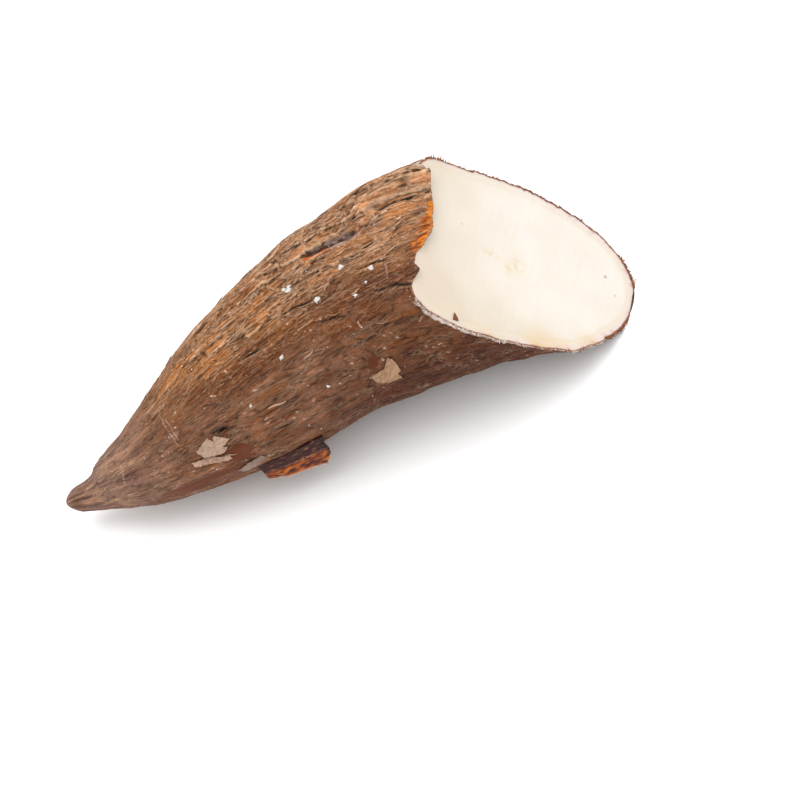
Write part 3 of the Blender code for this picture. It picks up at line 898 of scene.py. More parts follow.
def bark_material():
    """Bark: the vertex colour, broken up by flakes, wrinkles, fibres and grit finer than the mesh, with
    painted shadow in the fine gaps and folds and painted highlights beside them.
    """
    nodes = Nodes("bark")
    place = nodes.attribute("grain")
    flaking, wrinkled, smooth = nodes.split(nodes.attribute("kind"))
    fibre = nodes.noise(nodes.scaled(place, (700, 2400, 2400)), 1.0, 5.0, 0.65)
    grit = nodes.noise(nodes.scaled(place, (2200, 2800, 2800)), 1.0, 4.0, 0.6)
    gaps, pale, tone = nodes.cells(place, *FINE_FLAKES)
    folds, crests, spots = nodes.cells(place, *FINE_WRINKLES)
    gaps = nodes.times(gaps, flaking)
    folds = nodes.times(folds, wrinkled)
    lines = nodes.larger(gaps, folds)
    crests = nodes.times(nodes.times(crests, wrinkled), 0.40)
    highlit_edges = nodes.larger(nodes.times(pale, flaking), crests)
    rough = nodes.minus(1.0, nodes.times(smooth, 0.8))
    shade = nodes.times(nodes.vary(fibre, 0.74, 1.26), nodes.vary(grit, 0.74, 1.26))
    own = nodes.times(nodes.remap(tone, 0.0, 1.0, -0.20, 0.20), flaking)
    spot = nodes.times(nodes.remap(spots, 0.0, 1.0, -0.22, 0.22), wrinkled)
    shade = nodes.plus(shade, nodes.plus(own, spot))
    shade = nodes.plus(nodes.times(nodes.minus(shade, 1.0), rough), 1.0)
    # Painted shadow in the fine flake gaps and wrinkle folds.
    shade = nodes.times(shade, nodes.remap(lines, 0.0, 1.0, 1.06, 0.36))
    colour = nodes.multiply(nodes.tint(), shade)
    # Painted highlights on the edges beside them.
    colour = nodes.mix(colour, (*BARK_HIGHLIGHT, 1), nodes.times(highlit_edges, 0.50))
    height = nodes.minus(nodes.times(fibre, rough), lines)
    height = nodes.plus(height, nodes.times(highlit_edges, 0.6))
    bump = nodes.bump(height, 0.00028, 0.55)
    bump = nodes.bump(nodes.times(grit, rough), 0.00014, 0.45, bump)
    roughness = nodes.remap(smooth, 0.0, 1.0, 0.62, 0.30)
    return nodes.finish(Base_Color=colour, Roughness=roughness, Normal=bump, Specular_IOR_Level=0.14)


def flesh_material():
    """Cut flesh: starchy and faintly translucent, with a wet-looking fine grain."""
    nodes = Nodes("flesh")
    place = nodes.place()
    grain_noise = nodes.noise(place, 1500.0, 4.0, 0.55)
    cloud = nodes.noise(place, 160.0, 4.0, 0.5)
    shade = nodes.times(nodes.vary(grain_noise, 0.985, 1.015), nodes.vary(cloud, 0.985, 1.015))
    colour = nodes.multiply(nodes.tint(), shade)
    bump = nodes.bump(grain_noise, 0.00012, 0.25)
    soft = {"Subsurface_Weight": 0.25, "Subsurface_Radius": (0.0030, 0.0018, 0.0011), "Subsurface_Scale": 1.0}
    return nodes.finish(Base_Color=colour, Roughness=nodes.vary(cloud, 0.42, 0.60), Normal=bump, **soft)


def gloss_material():
    """Inner bark: the vertex colour with a resin-like shine."""
    nodes = Nodes("inner_bark")
    place = nodes.place()
    lines = nodes.noise(nodes.scaled(place, (500, 1800, 1800)), 1.0, 4.0, 0.6)
    colour = nodes.multiply(nodes.tint(), nodes.vary(lines, 0.72, 1.22))
    bump = nodes.bump(lines, 0.00020, 0.5)
    roughness = nodes.vary(lines, 0.30, 0.55)
    return nodes.finish(Base_Color=colour, Roughness=roughness, Normal=bump, Specular_IOR_Level=0.25)


def paper_material():
    """Papery outer skin and torn fibres: the vertex colour with fine lengthwise lines."""
    nodes = Nodes("papery_skin")
    place = nodes.place()
    lines = nodes.noise(nodes.scaled(place, (900, 2600, 2600)), 1.0, 4.0, 0.6)
    colour = nodes.multiply(nodes.tint(), nodes.vary(lines, 0.78, 1.16))
    return nodes.finish(Base_Color=colour, Roughness=0.75, Normal=nodes.bump(lines, 0.00018, 0.5))


def wax_material():
    """Dried latex and wax: near white, dull, lumpy."""
    nodes = Nodes("dried_wax")
    place = nodes.place()
    lumps = nodes.noise(place, 2600.0, 3.0, 0.5)
    colour = nodes.add("ShaderNodeValToRGB", {"Fac": lumps})
    stops = (0.3, shown(196, 188, 182)), (0.6, shown(246, 242, 238))
    for element, (position, tone) in zip(colour.color_ramp.elements, stops):
        element.position = position
        element.color = (*tone, 1)
    bump = nodes.bump(lumps, 0.00020, 0.5)
    return nodes.finish(Base_Color=colour.outputs["Color"], Roughness=0.55, Normal=bump)


BARK = bark_material()
FLESH = flesh_material()
GLOSS = gloss_material()
PAPER = paper_material()
WAX = wax_material()

# ---- bark pieces
RINGS = 560
SEGMENTS = 600
RING_CROWDING = 1.10
# The bark's pieces, from the tip on: name, first ring and last ring.
PIECE_ENDS = (
    ("bark_tapered_end", 0, 145),
    ("bark_waist", 145, 285),
    ("bark_middle", 285, 425),
    ("bark_thick_end", 425, RINGS - 1),
)
CAVITY_REACH = 5
FLOOR_GAP = 0.00002
LIP_ANGLES = tuple(radians(a) for a in (57, 61, 65, 85, 97, 101, 105, 108, 115, 120, 123, 127))
LIP_REACH = (0.0, 0.0029, 0.0031, 0.0025, 0.0034, 0.0026, 0.0022, 0.0006, 0.0005, 0.0022, 0.0014, 0.0)
LIP_TEAR = 0.00030
LIP_THICKNESS = 0.0009
LIP_ROWS = 8
ANGLES = np.arange(SEGMENTS) * 2 * math.pi / SEGMENTS
EDGE_STATIONS = cut_station(ANGLES)


def lip_reach(angle):
    """How far the torn bark stands past the cut, in metres."""
    reach = np.interp(angle, LIP_ANGLES, LIP_REACH)
    tear = noise_at(angle * 55, 0, 0, 91)
    return np.maximum(reach + LIP_TEAR * tear * ease(reach, 0.0, 0.0008), 0)


def grain_place(station, angle):
    """The bark's own directions, in metres, for the shader's fibres."""
    return grain(station, angle, 1.0, 1.0)


def on_cut(points):
    """Points moved straight onto the plane of the cut."""
    return points - past_cut(points)[..., None] * CUT_NORMAL


def edge_ring():
    """Where the bark's surface meets the cut, all round."""
    relief, _ = bark_detail(EDGE_STATIONS, ANGLES)
    return on_cut(surface(EDGE_STATIONS, ANGLES, relief))


def bark_grid():
    """The whole bark as a grid from the tip to the cut: places, colours, grain and shading."""
    ends = EDGE_STATIONS + lip_reach(ANGLES) / SPINE_LENGTH
    share = ((np.arange(RINGS) + 1) / RINGS) ** RING_CROWDING
    station = share[:, None] * ends[None, :]
    angle = np.broadcast_to(ANGLES, station.shape)
    relief, marks = bark_detail(station, angle)
    points = surface(station, angle, relief)
    allowed = np.maximum(past_cut(surface(ends, ANGLES)), 0)
    points = points - np.maximum(past_cut(points) - allowed, 0)[..., None] * CUT_NORMAL
    lipless = lip_reach(ANGLES) <= 0
    points[-1, lipless] = on_cut(points[-1, lipless])
    points[..., 2] = np.maximum(points[..., 2], FLOOR_GAP)
    height = relief + CREASE_SHARE * bark_relief(station, angle)
    # How far each spot stands above its neighbours; the colour takes painted highlights from it on raised
    # bits and painted shade in hollows.
    raised = height - grid_blur(height, CAVITY_REACH)
    colour = rim_colour(bark_colour(station, angle, marks, raised), station, angle, ends[None, :])
    rough = (1 - marks["smooth"]) * (1 - ease(scar(station, angle), 0.1, 0.3))
    creased = ease(bark_noise(station, angle, 0.010, 0.006, 25), -0.45, 0.35)
    wrinkled = (1 - 0.7 * marks["flake"]) * rough * ease(station, 0.0, 0.04) * (0.25 + 0.75 * creased)
    flaking = marks["flake"] * (0.35 + 0.65 * marks["top"]) * rough
    kinds = np.stack([flaking, wrinkled, marks["smooth"]], axis=-1)
    return points, colour, grain_place(station, angle), grid_normals(points), kinds


def make_bark():
    """The bark, in pieces that share their end rings, closed at the tip."""
    fields = bark_grid()
    for name, first, last in PIECE_ENDS:
        parts = [field[first:last + 1].reshape(-1, 3) for field in fields]
        faces = grid_faces(last + 1 - first, SEGMENTS, True).tolist()
        if first == 0:
            tip = len(parts[0])
            parts = [np.vstack([field, field[:SEGMENTS].mean(axis=0)]) for field in parts]
            parts[0][tip] = surface(np.zeros(1), np.zeros(1))[0]
            parts[3][tip] = (-1, 0, 0)
            faces += [(tip, (k + 1) % SEGMENTS, k) for k in range(SEGMENTS)]
        piece = add_piece(name, parts[0], faces, BARK, "bark", *parts[1:])
        if first == 0:
            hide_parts(NODE)
    return fields[0][-1]


def make_lip(bark_end):
    """The inner side of the ragged bark that the knife left standing past the cut."""
    columns = np.flatnonzero(lip_reach(ANGLES) > 0)
    angle = ANGLES[columns]
    share = np.linspace(1, 0, LIP_ROWS)[:, None]
    station = EDGE_STATIONS[columns] + share * lip_reach(angle) / SPINE_LENGTH
    spread = np.broadcast_to(angle, station.shape)
    relief, marks = bark_detail(station, spread)
    inner = surface(station, spread, relief - LIP_THICKNESS * (1 - 0.55 * share))
    points = np.concatenate([bark_end[columns][None], inner])
    # Torn red inner bark, darkened throughout and further by painted shade along the bark's gaps.
    colour = blend(TORN_RED, BARK_DARK, 0.3 + 0.4 * marks["shaded_gaps"])
    colour = np.concatenate([colour[:1], colour])
    faces = grid_faces(LIP_ROWS + 1, len(columns), False)
    add_piece("bark_lip", points, faces, BARK, "bark", colour)


# ---- the cut face
FACE_RINGS = 84
FACE_CROWDING = 1.25
FACE_CREAM = shown(255, 247, 236)
FACE_PAINTED_SHADE = shown(238, 223, 202)
RIND_PINK = shown(246, 228, 218)
RIND_LINE = shown(246, 232, 202)
RIND_BLUSH = shown(222, 168, 168)
SKIN_LINE = shown(150, 88, 58)
PITH_YELLOW = shown(238, 218, 168)
STAIN_AMBER = shown(240, 200, 128)
SPOT_GREY = shown(128, 118, 108)
RIND_DEPTH = 0.0029
SKIN_DEPTH = 0.00045
FACE_U = unit(np.cross(UP, CUT_NORMAL))
FACE_V = np.cross(CUT_NORMAL, FACE_U)
# Marks on the face, in metres along it from its middle: across, up, half width, half height, strength.
PITH_MARKS = (
    (-0.0027, 0.0132, 0.0012, 0.0024, 1.00),
    (-0.0013, 0.0041, 0.0024, 0.0032, 0.55),
    (-0.0040, 0.0060, 0.0016, 0.0014, 0.45),
)
STAINS = (
    (-0.0200, -0.0150, 0.0030, 0.0090, 0.60),
    (-0.0228, -0.0130, 0.0012, 0.0070, 0.95),
    (-0.0120, -0.0290, 0.0026, 0.0060, 0.50),
    (-0.0295, 0.0080, 0.0020, 0.0060, 0.35),
)
SPOTS = ((0.0144, -0.0275, 0.00045), (0.0100, -0.0323, 0.00025), (0.0010, 0.0245, 0.00020))


def blot(u, v, mark):
    """A soft-edged mark on the face."""
    at_u, at_v, half_u, half_v, strength = mark
    return strength * np.exp(-((u - at_u) / half_u) ** 2 - ((v - at_v) / half_v) ** 2)


def face_colour(u, v, depth):
    """Cream flesh with its pith and stains, a pinkish rind ring and the brown line of the skin, darkened by
    painted shade towards the left and the bottom.
    """
    cloud = noise_at(u / 0.011, v / 0.011, 0, 81)
    veins = noise_at(u / 0.0016, v / 0.0016, 0, 82)
    # Painted shade: darker towards the left and the bottom of the face as the camera sees it, with random
    # clouds of tone mixed in.
    shade = 0.10 + 0.20 * cloud + 0.75 * ease(v, 0.000, 0.045) + 0.70 * ease(-u, 0.006, 0.030)
    wavy = depth + 0.00045 * noise_at(u / 0.004, v / 0.004, 0, 83)
    line = np.exp(-((wavy - RIND_DEPTH) / 0.00055) ** 2)
    rind = 1 - ease(wavy, RIND_DEPTH - 0.0009, RIND_DEPTH)
    right = ease(-v, -0.015, 0.030)
    turn = np.arctan2(v, u)
    rays = noise_at(18 * np.cos(turn), 18 * np.sin(turn), 0, 84)
    colour = cover(
        FACE_CREAM,
        (FACE_PAINTED_SHADE, shade),
        (RIND_PINK, rind * (0.20 + 0.60 * right)),
        (RIND_LINE, (0.20 + 0.45 * right) * line),
        (RIND_BLUSH, right * ease(rays, 0.0, 0.6) * np.exp(-(wavy / 0.0014) ** 2)),
        (RIND_BLUSH, 0.55 * ease(u, 0.0, 0.010) * np.exp(-(wavy / 0.0007) ** 2)),
    )
    broken = 0.65 + 1.1 * veins
    for mark in PITH_MARKS:
        colour = blend(colour, PITH_YELLOW, blot(u, v, mark) * broken)
    for mark in STAINS:
        colour = blend(colour, STAIN_AMBER, blot(u, v, mark) * (0.75 + 0.6 * cloud))
    for at_u, at_v, half in SPOTS:
        colour = blend(colour, SPOT_GREY, 0.9 * np.exp(-((u - at_u) ** 2 + (v - at_v) ** 2) / half ** 2))
    skin = 1 - ease(depth + 0.00016 * veins, 0.7 * SKIN_DEPTH, SKIN_DEPTH * 1.5)
    return blend(colour, SKIN_LINE, skin)


def edge_depth(points, edge):
    """How far each point is in from the nearest part of the edge."""
    nearest = np.full(len(points), 1.0)
    for spot in edge:
        nearest = np.minimum(nearest, np.sum((points - spot) ** 2, axis=1))
    return np.sqrt(nearest)


def make_face(edge):
    """The knife-cut face: a nearly flat sheet that meets the bark's last ring."""
    middle = edge.mean(axis=0)
    share = 1 - (np.arange(FACE_RINGS) / FACE_RINGS) ** FACE_CROWDING
    points = middle + share[:, None, None] * (edge - middle)[None]
    flat = np.vstack([points.reshape(-1, 3), middle])
    u = (flat - middle) @ FACE_U
    v = (flat - middle) @ FACE_V
    depth = edge_depth(flat, edge)
    rise = 0.00030 * noise_at(u / 0.016, v / 0.016, 0, 85) + 0.00007 * noise_at(u / 0.0120, v / 0.0016, 0, 86)
    rise = rise - 0.00012 * np.exp(-((depth - RIND_DEPTH) / 0.0005) ** 2)
    solid = flat + (rise * ease(depth, 0.0, 0.0012))[:, None] * CUT_NORMAL
    faces = grid_faces(FACE_RINGS, SEGMENTS, True).tolist()
    last = (FACE_RINGS - 1) * SEGMENTS
    hub = len(flat) - 1
    faces += [(hub, last + k, last + (k + 1) % SEGMENTS) for k in range(SEGMENTS)]
    add_piece("cut_face", solid, faces, FLESH, "flesh", face_colour(u, v, depth))
    return middle


# ---- torn bits along the rim
RIM_SEED = 11
RIM_CHIPS = 1100
# The stretch of the rim that is torn most.
ROUGH_RIM = (radians(238), radians(312))
CHIP_COLOURS = (shown(178, 116, 74), shown(132, 84, 56), shown(152, 92, 62), shown(204, 146, 100))
PALE_CHIPS = (shown(232, 214, 204), shown(214, 188, 176), shown(240, 230, 222), shown(164, 124, 100))
CHIP_THICKNESS = 0.00007
# Tufts of torn skin on the rim: degrees round, longest strand in metres, how many, and spread in degrees.
TUFTS = in_radians((0, 3), (
    (50, 0.0018, 26, 3.2),
    (47, 0.0012, 5, 1.5),
    (43, 0.0011, 4, 1.0),
    (38, 0.0010, 4, 1.5),
    (30, 0.0011, 5, 2.0),
    (24, 0.0010, 5, 2.0),
    (5, 0.0010, 5, 2.0),
    (298, 0.0030, 4, 0.8),
    (287, 0.0030, 3, 0.6),
    (270, 0.0014, 5, 2.0),
    (255, 0.0020, 7, 3.0),
    (240, 0.0020, 8, 3.0),
))


def rim_strand(draw, edge, middle, angle, length, half_width):
    """One torn strand that stands out from the rim."""
    place = (angle / (2 * math.pi) * SEGMENTS) % SEGMENTS
    here = edge[int(place)]
    out = unit(here - middle)
    tangent = np.cross(CUT_NORMAL, out)
    lean = out * draw.uniform(0.1, 0.6) + CUT_NORMAL * draw.uniform(-0.5, 0.5)
    lean = unit(lean + tangent * draw.uniform(-1.2, 1.2))
    curl = unit(tangent * draw.normal() + CUT_NORMAL * draw.normal()) * draw.uniform(-0.35, 0.35)
    share = np.linspace(0, 1, 5)[:, None]
    path = here - 0.0002 * lean + length * (lean * share + curl * share ** 2)
    widths = half_width * np.array((1.0, 1.1, 0.8, 0.7, 0.25)) * draw.uniform(0.7, 1.3, 5)
    return sliver(path, widths, CHIP_THICKNESS, tangent + 0.4 * CUT_NORMAL * draw.normal())


def make_rim(edge, middle):
    """Chips and tufts of torn skin all round the cut, whitish along its lower side."""
    draw = np.random.default_rng(RIM_SEED)
    bundle = Bundle()
    for number in range(RIM_CHIPS):
        angle = draw.uniform(*(ROUGH_RIM if number % 3 == 0 else (0, 2 * math.pi)))
        pale = WHITE_RIM[0] < angle < WHITE_RIM[1] and draw.uniform() < 0.75
        palette = PALE_CHIPS if pale else CHIP_COLOURS
        length = draw.uniform(0.0003, 0.0008) * (1.5 if pale or number % 3 == 0 else 1.0)
        colour = palette[draw.integers(len(palette))] * draw.uniform(0.75, 1.1)
        strand = rim_strand(draw, edge, middle, angle, length, draw.uniform(0.00012, 0.00040))
        if not LIP_ANGLES[0] < angle < LIP_ANGLES[-1]:
            bundle.add(strand, np.clip(colour, 0, 0.95))
    for at, longest, count, spread in TUFTS:
        for _ in range(count):
            angle = at + draw.uniform(-1, 1) * spread
            length = longest * draw.uniform(0.45, 1.0)
            strand = rim_strand(draw, edge, middle, angle, length, draw.uniform(0.00012, 0.00036))
            bundle.add(strand, CHIP_COLOURS[draw.integers(len(CHIP_COLOURS))])
    bundle.make("torn_rim", PAPER, "bark")


# ---- the peeled strip
STRIP_STATIONS = (0.315, 0.430)
STRIP_SLANT = 0.013
STRIP_ANGLE = radians(191)
STRIP_WIDTHS = (0.0084, 0.0126)
STRIP_FLARE = radians(22)
STRIP_THICKNESS = 0.0013
STRIP_ROWS = 120
STRIP_COLUMNS = 60
STRIP_TORN_LINE = 0.36
STRIP_DARK = shown(72, 46, 32)
STRIP_GREY = shown(138, 98, 74)
STRIP_GLOSS = shown(132, 62, 26)
STRIP_AMBER = shown(206, 116, 42)
STRIP_EDGE = shown(222, 184, 160)


def make_strip():
    """The strip of bark peeled off the near side: dark ribbed skin over glossy orange inner bark."""
    sides = np.linspace(0, 1, STRIP_ROWS), np.linspace(0, 1, STRIP_COLUMNS)
    share, across = np.meshgrid(*sides, indexing="ij")
    coarse = noise_at(8.1 * share, 6.0 * across, 0, 101)
    ribs = noise_at(9.0 * share, 26.4 * across, 0, 102)
    tear = noise_at(18.0 * share, 0, 0, 103) + 0.5 * noise_at(46.8 * share, 0, 0, 104)
    ragged = STRIP_SLANT * (across ** 2 + 0.25 * np.sin(9.0 * across)) * share
    ragged = ragged + 0.0035 * share ** 6 * noise_at(0, 10.8 * across, 0, 105)
    station = STRIP_STATIONS[0] + (STRIP_STATIONS[1] - STRIP_STATIONS[0]) * share - ragged
    base_angle = np.full_like(station, STRIP_ANGLE)
    base = surface(station, base_angle, -0.0006)
    down = unit(surface(station, base_angle + 0.02, -0.0006) - base)
    out = unit(surface(station, base_angle, 0.0010) - base)
    hang = math.cos(STRIP_FLARE) * down + math.sin(STRIP_FLARE) * out
    width = STRIP_WIDTHS[0] + (STRIP_WIDTHS[1] - STRIP_WIDTHS[0]) * share
    torn = STRIP_TORN_LINE + 0.07 * tear
    outer_skin = 1 - ease(across, torn, torn + 0.03)
    bulge = 0.0007 * np.sin(math.pi * across) + 0.0004 * np.sin(6.0 * share) * across
    bulge = bulge + 0.00050 * outer_skin + 0.00022 * ribs + 0.00030 * coarse
    sheet = base + (across * width)[..., None] * hang
    outer = sheet + bulge[..., None] * out
    inner = sheet + (bulge - STRIP_THICKNESS)[..., None] * out
    skin = blend(STRIP_DARK, STRIP_GREY, ease(ribs, 0.15, 0.6))
    torn_edge = np.exp(-((across - torn - 0.015) / 0.020) ** 2) * ease(tear, -0.6, 0.0)
    dark_end = ease(share + 0.06 * ribs, 0.90, 0.97) * (1 - ease(across, 0.5, 0.7))
    colour = cover(
        STRIP_GLOSS,
        (STRIP_AMBER, ease(coarse + 0.6 * ribs, -0.1, 0.5)),
        (BARK_DARK, 0.85 * ease(-coarse - 0.7 * ribs, 0.10, 0.45)),
        (skin, outer_skin),
        (STRIP_EDGE, 0.85 * torn_edge),
        (STRIP_EDGE, 0.8 * ease(across, 0.90, 0.97) * ease(tear, -0.9, -0.2)),
        (BARK_DARK, 0.7 * dark_end),
    )
    points, faces = closed_sheet(outer, inner)
    colours = np.concatenate([colour, colour[:, ::-1] * 0.7], axis=1)
    add_piece("peeled_strip", points, faces, GLOSS, "bark", colours)


# ---- papery flakes, splinters and dried wax
# Papery flakes: station, degrees round, lift at the rim in metres, and colour.
FLAKES = in_radians((1,), (
    (0.281, 149.5, 0.0005, shown(196, 164, 140)),
    (0.594, 167, 0.0005, shown(184, 144, 112)),
    (0.308, 184, 0.0006, shown(160, 136, 120)),
    (0.264, 160, 0.0004, shown(196, 158, 138)),
    (0.600, 20, 0.0006, shown(190, 152, 120)),
    (0.420, -25, 0.0006, shown(176, 140, 112)),
    (0.760, -60, 0.0005, shown(186, 148, 118)),
))
# The corners of each, in millimetres along the root and round it.
FLAKE_CORNERS = (
    ((-4.5, -1.5), (0, -3.5), (0.5, -1.5), (1.5, -3), (4.5, 0), (1.5, 1.5), (3, 2), (1, 3), (-3, 3),
     (-4.5, -0.5)),
    ((-5.5, -1.5), (0.5, -2), (3, -4.5), (4.5, -3), (5, 1), (3.5, 1.5), (4.5, 4), (-1, 3.5), (-5, 1)),
    ((-4, 0), (0, -1.5), (4, -2.5), (5, -1), (2, 1), (-1, 2)),
    ((-4.5, -2.5), (-1, -1.5), (2, 0), (4.5, 1), (4.5, 2.5), (1.5, 1.5), (-2, 0), (-4.5, -1)),
    ((-4.5, -2), (-1, -3.5), (0, -2), (4, -2.5), (5, 0.5), (2, 1), (2.5, 3), (-3, 2.5)),
    ((-4, -1), (-1, -3.5), (3, -3), (4, 1), (1, 1.5), (0, 4)),
    ((-5, 0), (-1, -2.5), (4, -2), (3, 0.5), (4.5, 2.5), (-3, 2)),
)
FLAKE_RINGS = 14
FLAKE_SEGMENTS = 120
FLAKE_THICKNESS = 0.00020
FLAKE_RAGGED = 0.00025


def torn_outline(corners, turn):
    """Places along and across, in metres, on the slightly ragged lines between the corners."""
    closed = np.array(corners + corners[:1]) / 1000
    walked = np.concatenate([[0], np.cumsum(np.linalg.norm(np.diff(closed, axis=0), axis=1))])
    at = np.arange(FLAKE_SEGMENTS) / FLAKE_SEGMENTS * walked[-1]
    outline = np.stack([np.interp(at, walked, closed[:, k]) for k in range(2)], axis=-1)
    spots = np.concatenate([outline / 0.0008, np.full((FLAKE_SEGMENTS, 1), turn)], axis=-1)
    return outline + FLAKE_RAGGED * np.stack([noise(spots, 111), noise(spots, 112)], axis=-1)


def make_flake(number, station, angle, lift, tone, corners):
    """A torn papery flake that lies on the bark with its rim lifted and its skin creased."""
    outline = torn_outline(corners, number)
    middle = outline.mean(axis=0)
    share = np.linspace(0.02, 1, FLAKE_RINGS)[:, None]
    along = middle[0] + share * (outline[:, 0] - middle[0])
    across = middle[1] + share * (outline[:, 1] - middle[1])
    stations = station + along / SPINE_LENGTH
    angles = angle + across / girth(stations)
    relief, _ = bark_detail(stations, angles)
    slant = 0.6 * along + 0.8 * across
    folds = noise_at(slant / 0.0015, (along - across) / 0.006, number, 113)
    lines = noise_at(slant / 0.00035, (along - across) / 0.004, number, 114)
    creased = ease(-np.abs(folds), -0.12, 0.0)
    smooth = np.minimum(relief, 0.0002)
    proud = smooth + 0.0002 + lift * share ** 2 * (0.5 + 0.8 * folds) - 0.00012 * creased
    outer = surface(stations, angles, proud)
    inner = surface(stations, angles, proud - FLAKE_THICKNESS)
    points = np.concatenate([outer, inner[::-1]])
    faces = capped_tube(2 * FLAKE_RINGS, FLAKE_SEGMENTS, flipped=True)
    # Painted shade: lighter and darker along the folds and darker in the creases, over the tone of the skin's
    # fine lines.
    colour = tone * (1 + 0.14 * lines + 0.10 * folds - 0.22 * creased)[..., None]
    colour = np.concatenate([colour, colour[::-1] * 0.8])
    add_piece(f"papery_flake_{number}", points, faces, PAPER, "bark", np.clip(colour, 0, 0.95))


SPLINTER_SEED = 23
SPLINTERS = 420
SPLINTER_STATIONS = (0.16, 0.95)
SPLINTER_ANGLES = (-1.2, 4.2)
SPLINTER_LENGTHS = (0.0015, 0.0050)
SPLINTER_HALF_WIDTHS = (0.00010, 0.00030)
SPLINTER_LIFT = 0.0006
SPLINTER_THICKNESS = 0.00009
# How much of a splinter's width is left at each step along it.
SPLINTER_TAPER = np.array((0.4, 0.9, 1.0, 1.1, 0.9, 0.7, 0.3))
# Splinters stay this far short of the cut, in stations.
SPLINTER_CLEAR = 0.004
SPLINTER_COLOURS = (shown(176, 132, 98), shown(146, 98, 66), shown(204, 164, 132), shown(118, 76, 50))


def make_splinters():
    """Thin splinters of bark, lifted at one end, over the flaking upper side and fewer elsewhere."""
    draw = np.random.default_rng(SPLINTER_SEED)
    bundle = Bundle()
    for _ in range(SPLINTERS):
        station = draw.uniform(*SPLINTER_STATIONS)
        angle = draw.uniform(*SPLINTER_ANGLES)
        length = draw.uniform(*SPLINTER_LENGTHS)
        half_width = draw.uniform(*SPLINTER_HALF_WIDTHS)
        lift = draw.uniform(0.0, SPLINTER_LIFT)
        turn = draw.uniform(-0.04, 0.06)
        tone = SPLINTER_COLOURS[draw.integers(len(SPLINTER_COLOURS))] * draw.uniform(0.7, 1.1)
        kept = draw.uniform() < 0.20 + 0.80 * float(flaky(np.array(station), np.array(angle)))
        share = np.linspace(0, 1, len(SPLINTER_TAPER))
        stations = station + share * length / SPINE_LENGTH
        if not kept or stations[-1] > float(cut_station(np.array(angle))) - SPLINTER_CLEAR:
            continue
        angles = angle + turn * share + 0.008 * np.sin(6 * share + 9 * station)
        relief, _ = bark_detail(stations, angles)
        proud = relief.mean() + 0.00005 + lift * share ** 2
        path = surface(stations, angles, proud)
        side = unit(surface(stations, angles + 0.02) - surface(stations, angles))
        strand = sliver(path, half_width * SPLINTER_TAPER, SPLINTER_THICKNESS, side)
        bundle.add(strand, np.clip(tone, 0, 0.95))
    bundle.make("bark_splinters", PAPER, "bark")


# Dried wax on the near side: station, degrees round and half width in metres of each clump.
WAX_CLUMPS = in_radians((1,), (
    (0.518, 84.5, 0.00115),
    (0.551, 104.5, 0.00095),
    (0.618, 92.0, 0.00085),
    (0.660, 105.0, 0.00075),
    (0.642, 112.5, 0.00040),
    (0.615, 117.0, 0.00060),
    (0.441, 123.5, 0.00055),
    (0.477, 155.0, 0.00045),
    (0.367, 138.0, 0.00045),
    (0.322, 196.0, 0.00060),
))
# How many smaller drops each clump has round it, and the root's radius there.
WAX_DROPS = 6
WAX_REACH = 0.026
WAX_SEED = 31
WAX_SPECKS = 70
SPECK_STATIONS = (0.18, 0.72)
SPECK_ANGLES = (-0.6, 3.4)
SPECK_SIZES = (0.00010, 0.00026)


def make_wax():
    """Clumps and specks of dried white wax on the bark."""
    draw = np.random.default_rng(WAX_SEED)
    bundle = Bundle()
    drops = []
    for station, angle, half in WAX_CLUMPS:
        drops.append((station, angle, half))
        for _ in range(WAX_DROPS):
            ahead, beside = draw.uniform(-1, 1, 2) * 0.9 * half
            drop_station, drop_angle = station + ahead / SPINE_LENGTH, angle + beside / WAX_REACH
            drops.append((drop_station, drop_angle, half * draw.uniform(0.3, 0.7)))
    for _ in range(WAX_SPECKS):
        drops.append([draw.uniform(*limits) for limits in (SPECK_STATIONS, SPECK_ANGLES, SPECK_SIZES)])
    for number, (station, angle, half) in enumerate(drops):
        station, angle = np.array(station), np.array(angle)
        relief, _ = bark_detail(station, angle)
        here = surface(station, angle, relief)
        out = unit(surface(station, angle, relief + 0.001) - here)
        bundle.add(blob(here, out, 0.85 * half, 0.40 * half, 1.7 * number), np.ones(3))
    bundle.make("dried_wax", WAX, "flesh")


# The crumb on the face: its place in metres across and up from the middle, its length and its half widths.
CRUMB_PLACE = (-0.0302, 0.0192)
CRUMB_LENGTH = 0.0024
CRUMB_HALF_WIDTHS = (0.0010, 0.0008, 0.0005, 0.0001)
CRUMB_THICKNESS = 0.00022
CRUMB_BROWN = shown(136, 82, 54)


def make_crumb(middle):
    """A brown crumb of skin lying on the cut face."""
    here = middle + CRUMB_PLACE[0] * FACE_U + CRUMB_PLACE[1] * FACE_V + 0.0002 * CUT_NORMAL
    share = np.linspace(0, 1, len(CRUMB_HALF_WIDTHS))[:, None]
    path = here + (share - 0.5) * CRUMB_LENGTH * unit(FACE_U * 0.75 + FACE_V * 0.35)
    bundle = Bundle()
    bundle.add(sliver(path, CRUMB_HALF_WIDTHS, CRUMB_THICKNESS, FACE_V), CRUMB_BROWN)
    bundle.make("skin_crumb", PAPER, "bark")


rim = edge_ring()
make_lip(make_bark())
face_middle = make_face(rim)
make_rim(rim, face_middle)
make_strip()
for number, (flake, flake_corners) in enumerate(zip(FLAKES, FLAKE_CORNERS)):
    make_flake(number, *flake, flake_corners)
make_splinters()
make_wax()
make_crumb(face_middle)

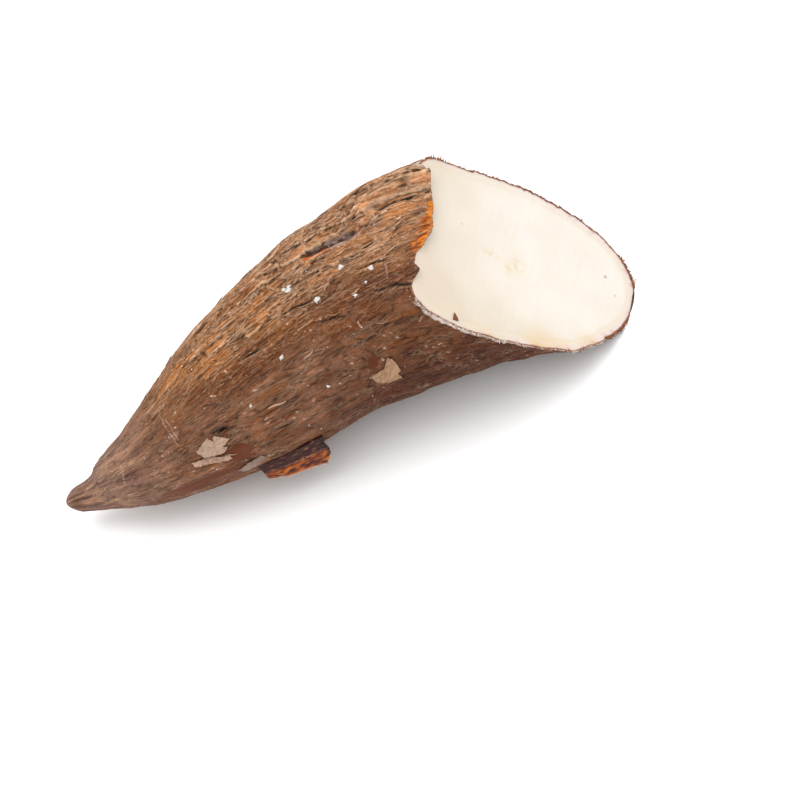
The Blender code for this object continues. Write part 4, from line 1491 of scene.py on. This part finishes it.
# ---- stage
FLOOR_HALF = 3.0
CAMERA_PLACE = Vector((-0.0205, -0.3613, 0.4492))
CAMERA_TARGET = Vector((0.0110, -0.0137, 0.0024))
CAMERA_ROLL = radians(-16.7)
CAMERA_LENS = 85.0
SENSOR_WIDTH = 36.0
KEY_LIGHT_PLACE = (-0.22, 0.22, 1.00)
KEY_LIGHT_SIZE = 0.9
KEY_LIGHT_POWER = 6.0
ROOM_LIGHT = 1.17


def make_floor():
    """A plain pale floor under the root."""
    corners = [(FLOOR_HALF * x, FLOOR_HALF * y, 0) for x, y in ((-1, -1), (1, -1), (1, 1), (-1, 1))]
    mesh = bpy.data.meshes.new("floor")
    mesh.from_pydata(corners, [], [(0, 1, 2, 3)])
    floor = add_object("floor", mesh)
    nodes = Nodes("pale_floor")
    mesh.materials.append(nodes.finish(Base_Color=(0.96, 0.96, 0.96, 1), Roughness=0.9))


def add_light(name, place, target, size, power):
    """A square soft light."""
    lamp = bpy.data.lights.new(name, "AREA")
    lamp.shape = "SQUARE"
    lamp.size = size
    lamp.energy = power
    light = add_object(name, lamp)
    light.location = place
    light.rotation_euler = (Vector(target) - Vector(place)).to_track_quat("-Z", "Y").to_euler()


def make_stage():
    """Floor, soft studio light, pale surroundings and the camera."""
    make_floor()
    add_light("key_light", KEY_LIGHT_PLACE, (0, 0, 0), KEY_LIGHT_SIZE, KEY_LIGHT_POWER)
    world = bpy.data.worlds.new("pale_room")
    world.use_nodes = True
    world.node_tree.nodes["Background"].inputs["Color"].default_value = (1, 1, 1, 1)
    world.node_tree.nodes["Background"].inputs["Strength"].default_value = ROOM_LIGHT
    scene = bpy.context.scene
    scene.world = world
    scene.view_settings.view_transform = "Standard"
    lens = bpy.data.cameras.new("camera")
    lens.lens = CAMERA_LENS
    lens.sensor_width = SENSOR_WIDTH
    lens.clip_start = 0.01
    camera = add_object("camera", lens)
    look = (CAMERA_TARGET - CAMERA_PLACE).to_track_quat("-Z", "Y")
    roll = Matrix.Rotation(CAMERA_ROLL, 4, "Z")
    camera.matrix_world = Matrix.Translation(CAMERA_PLACE) @ look.to_matrix().to_4x4() @ roll
    scene.camera = camera


make_stage()
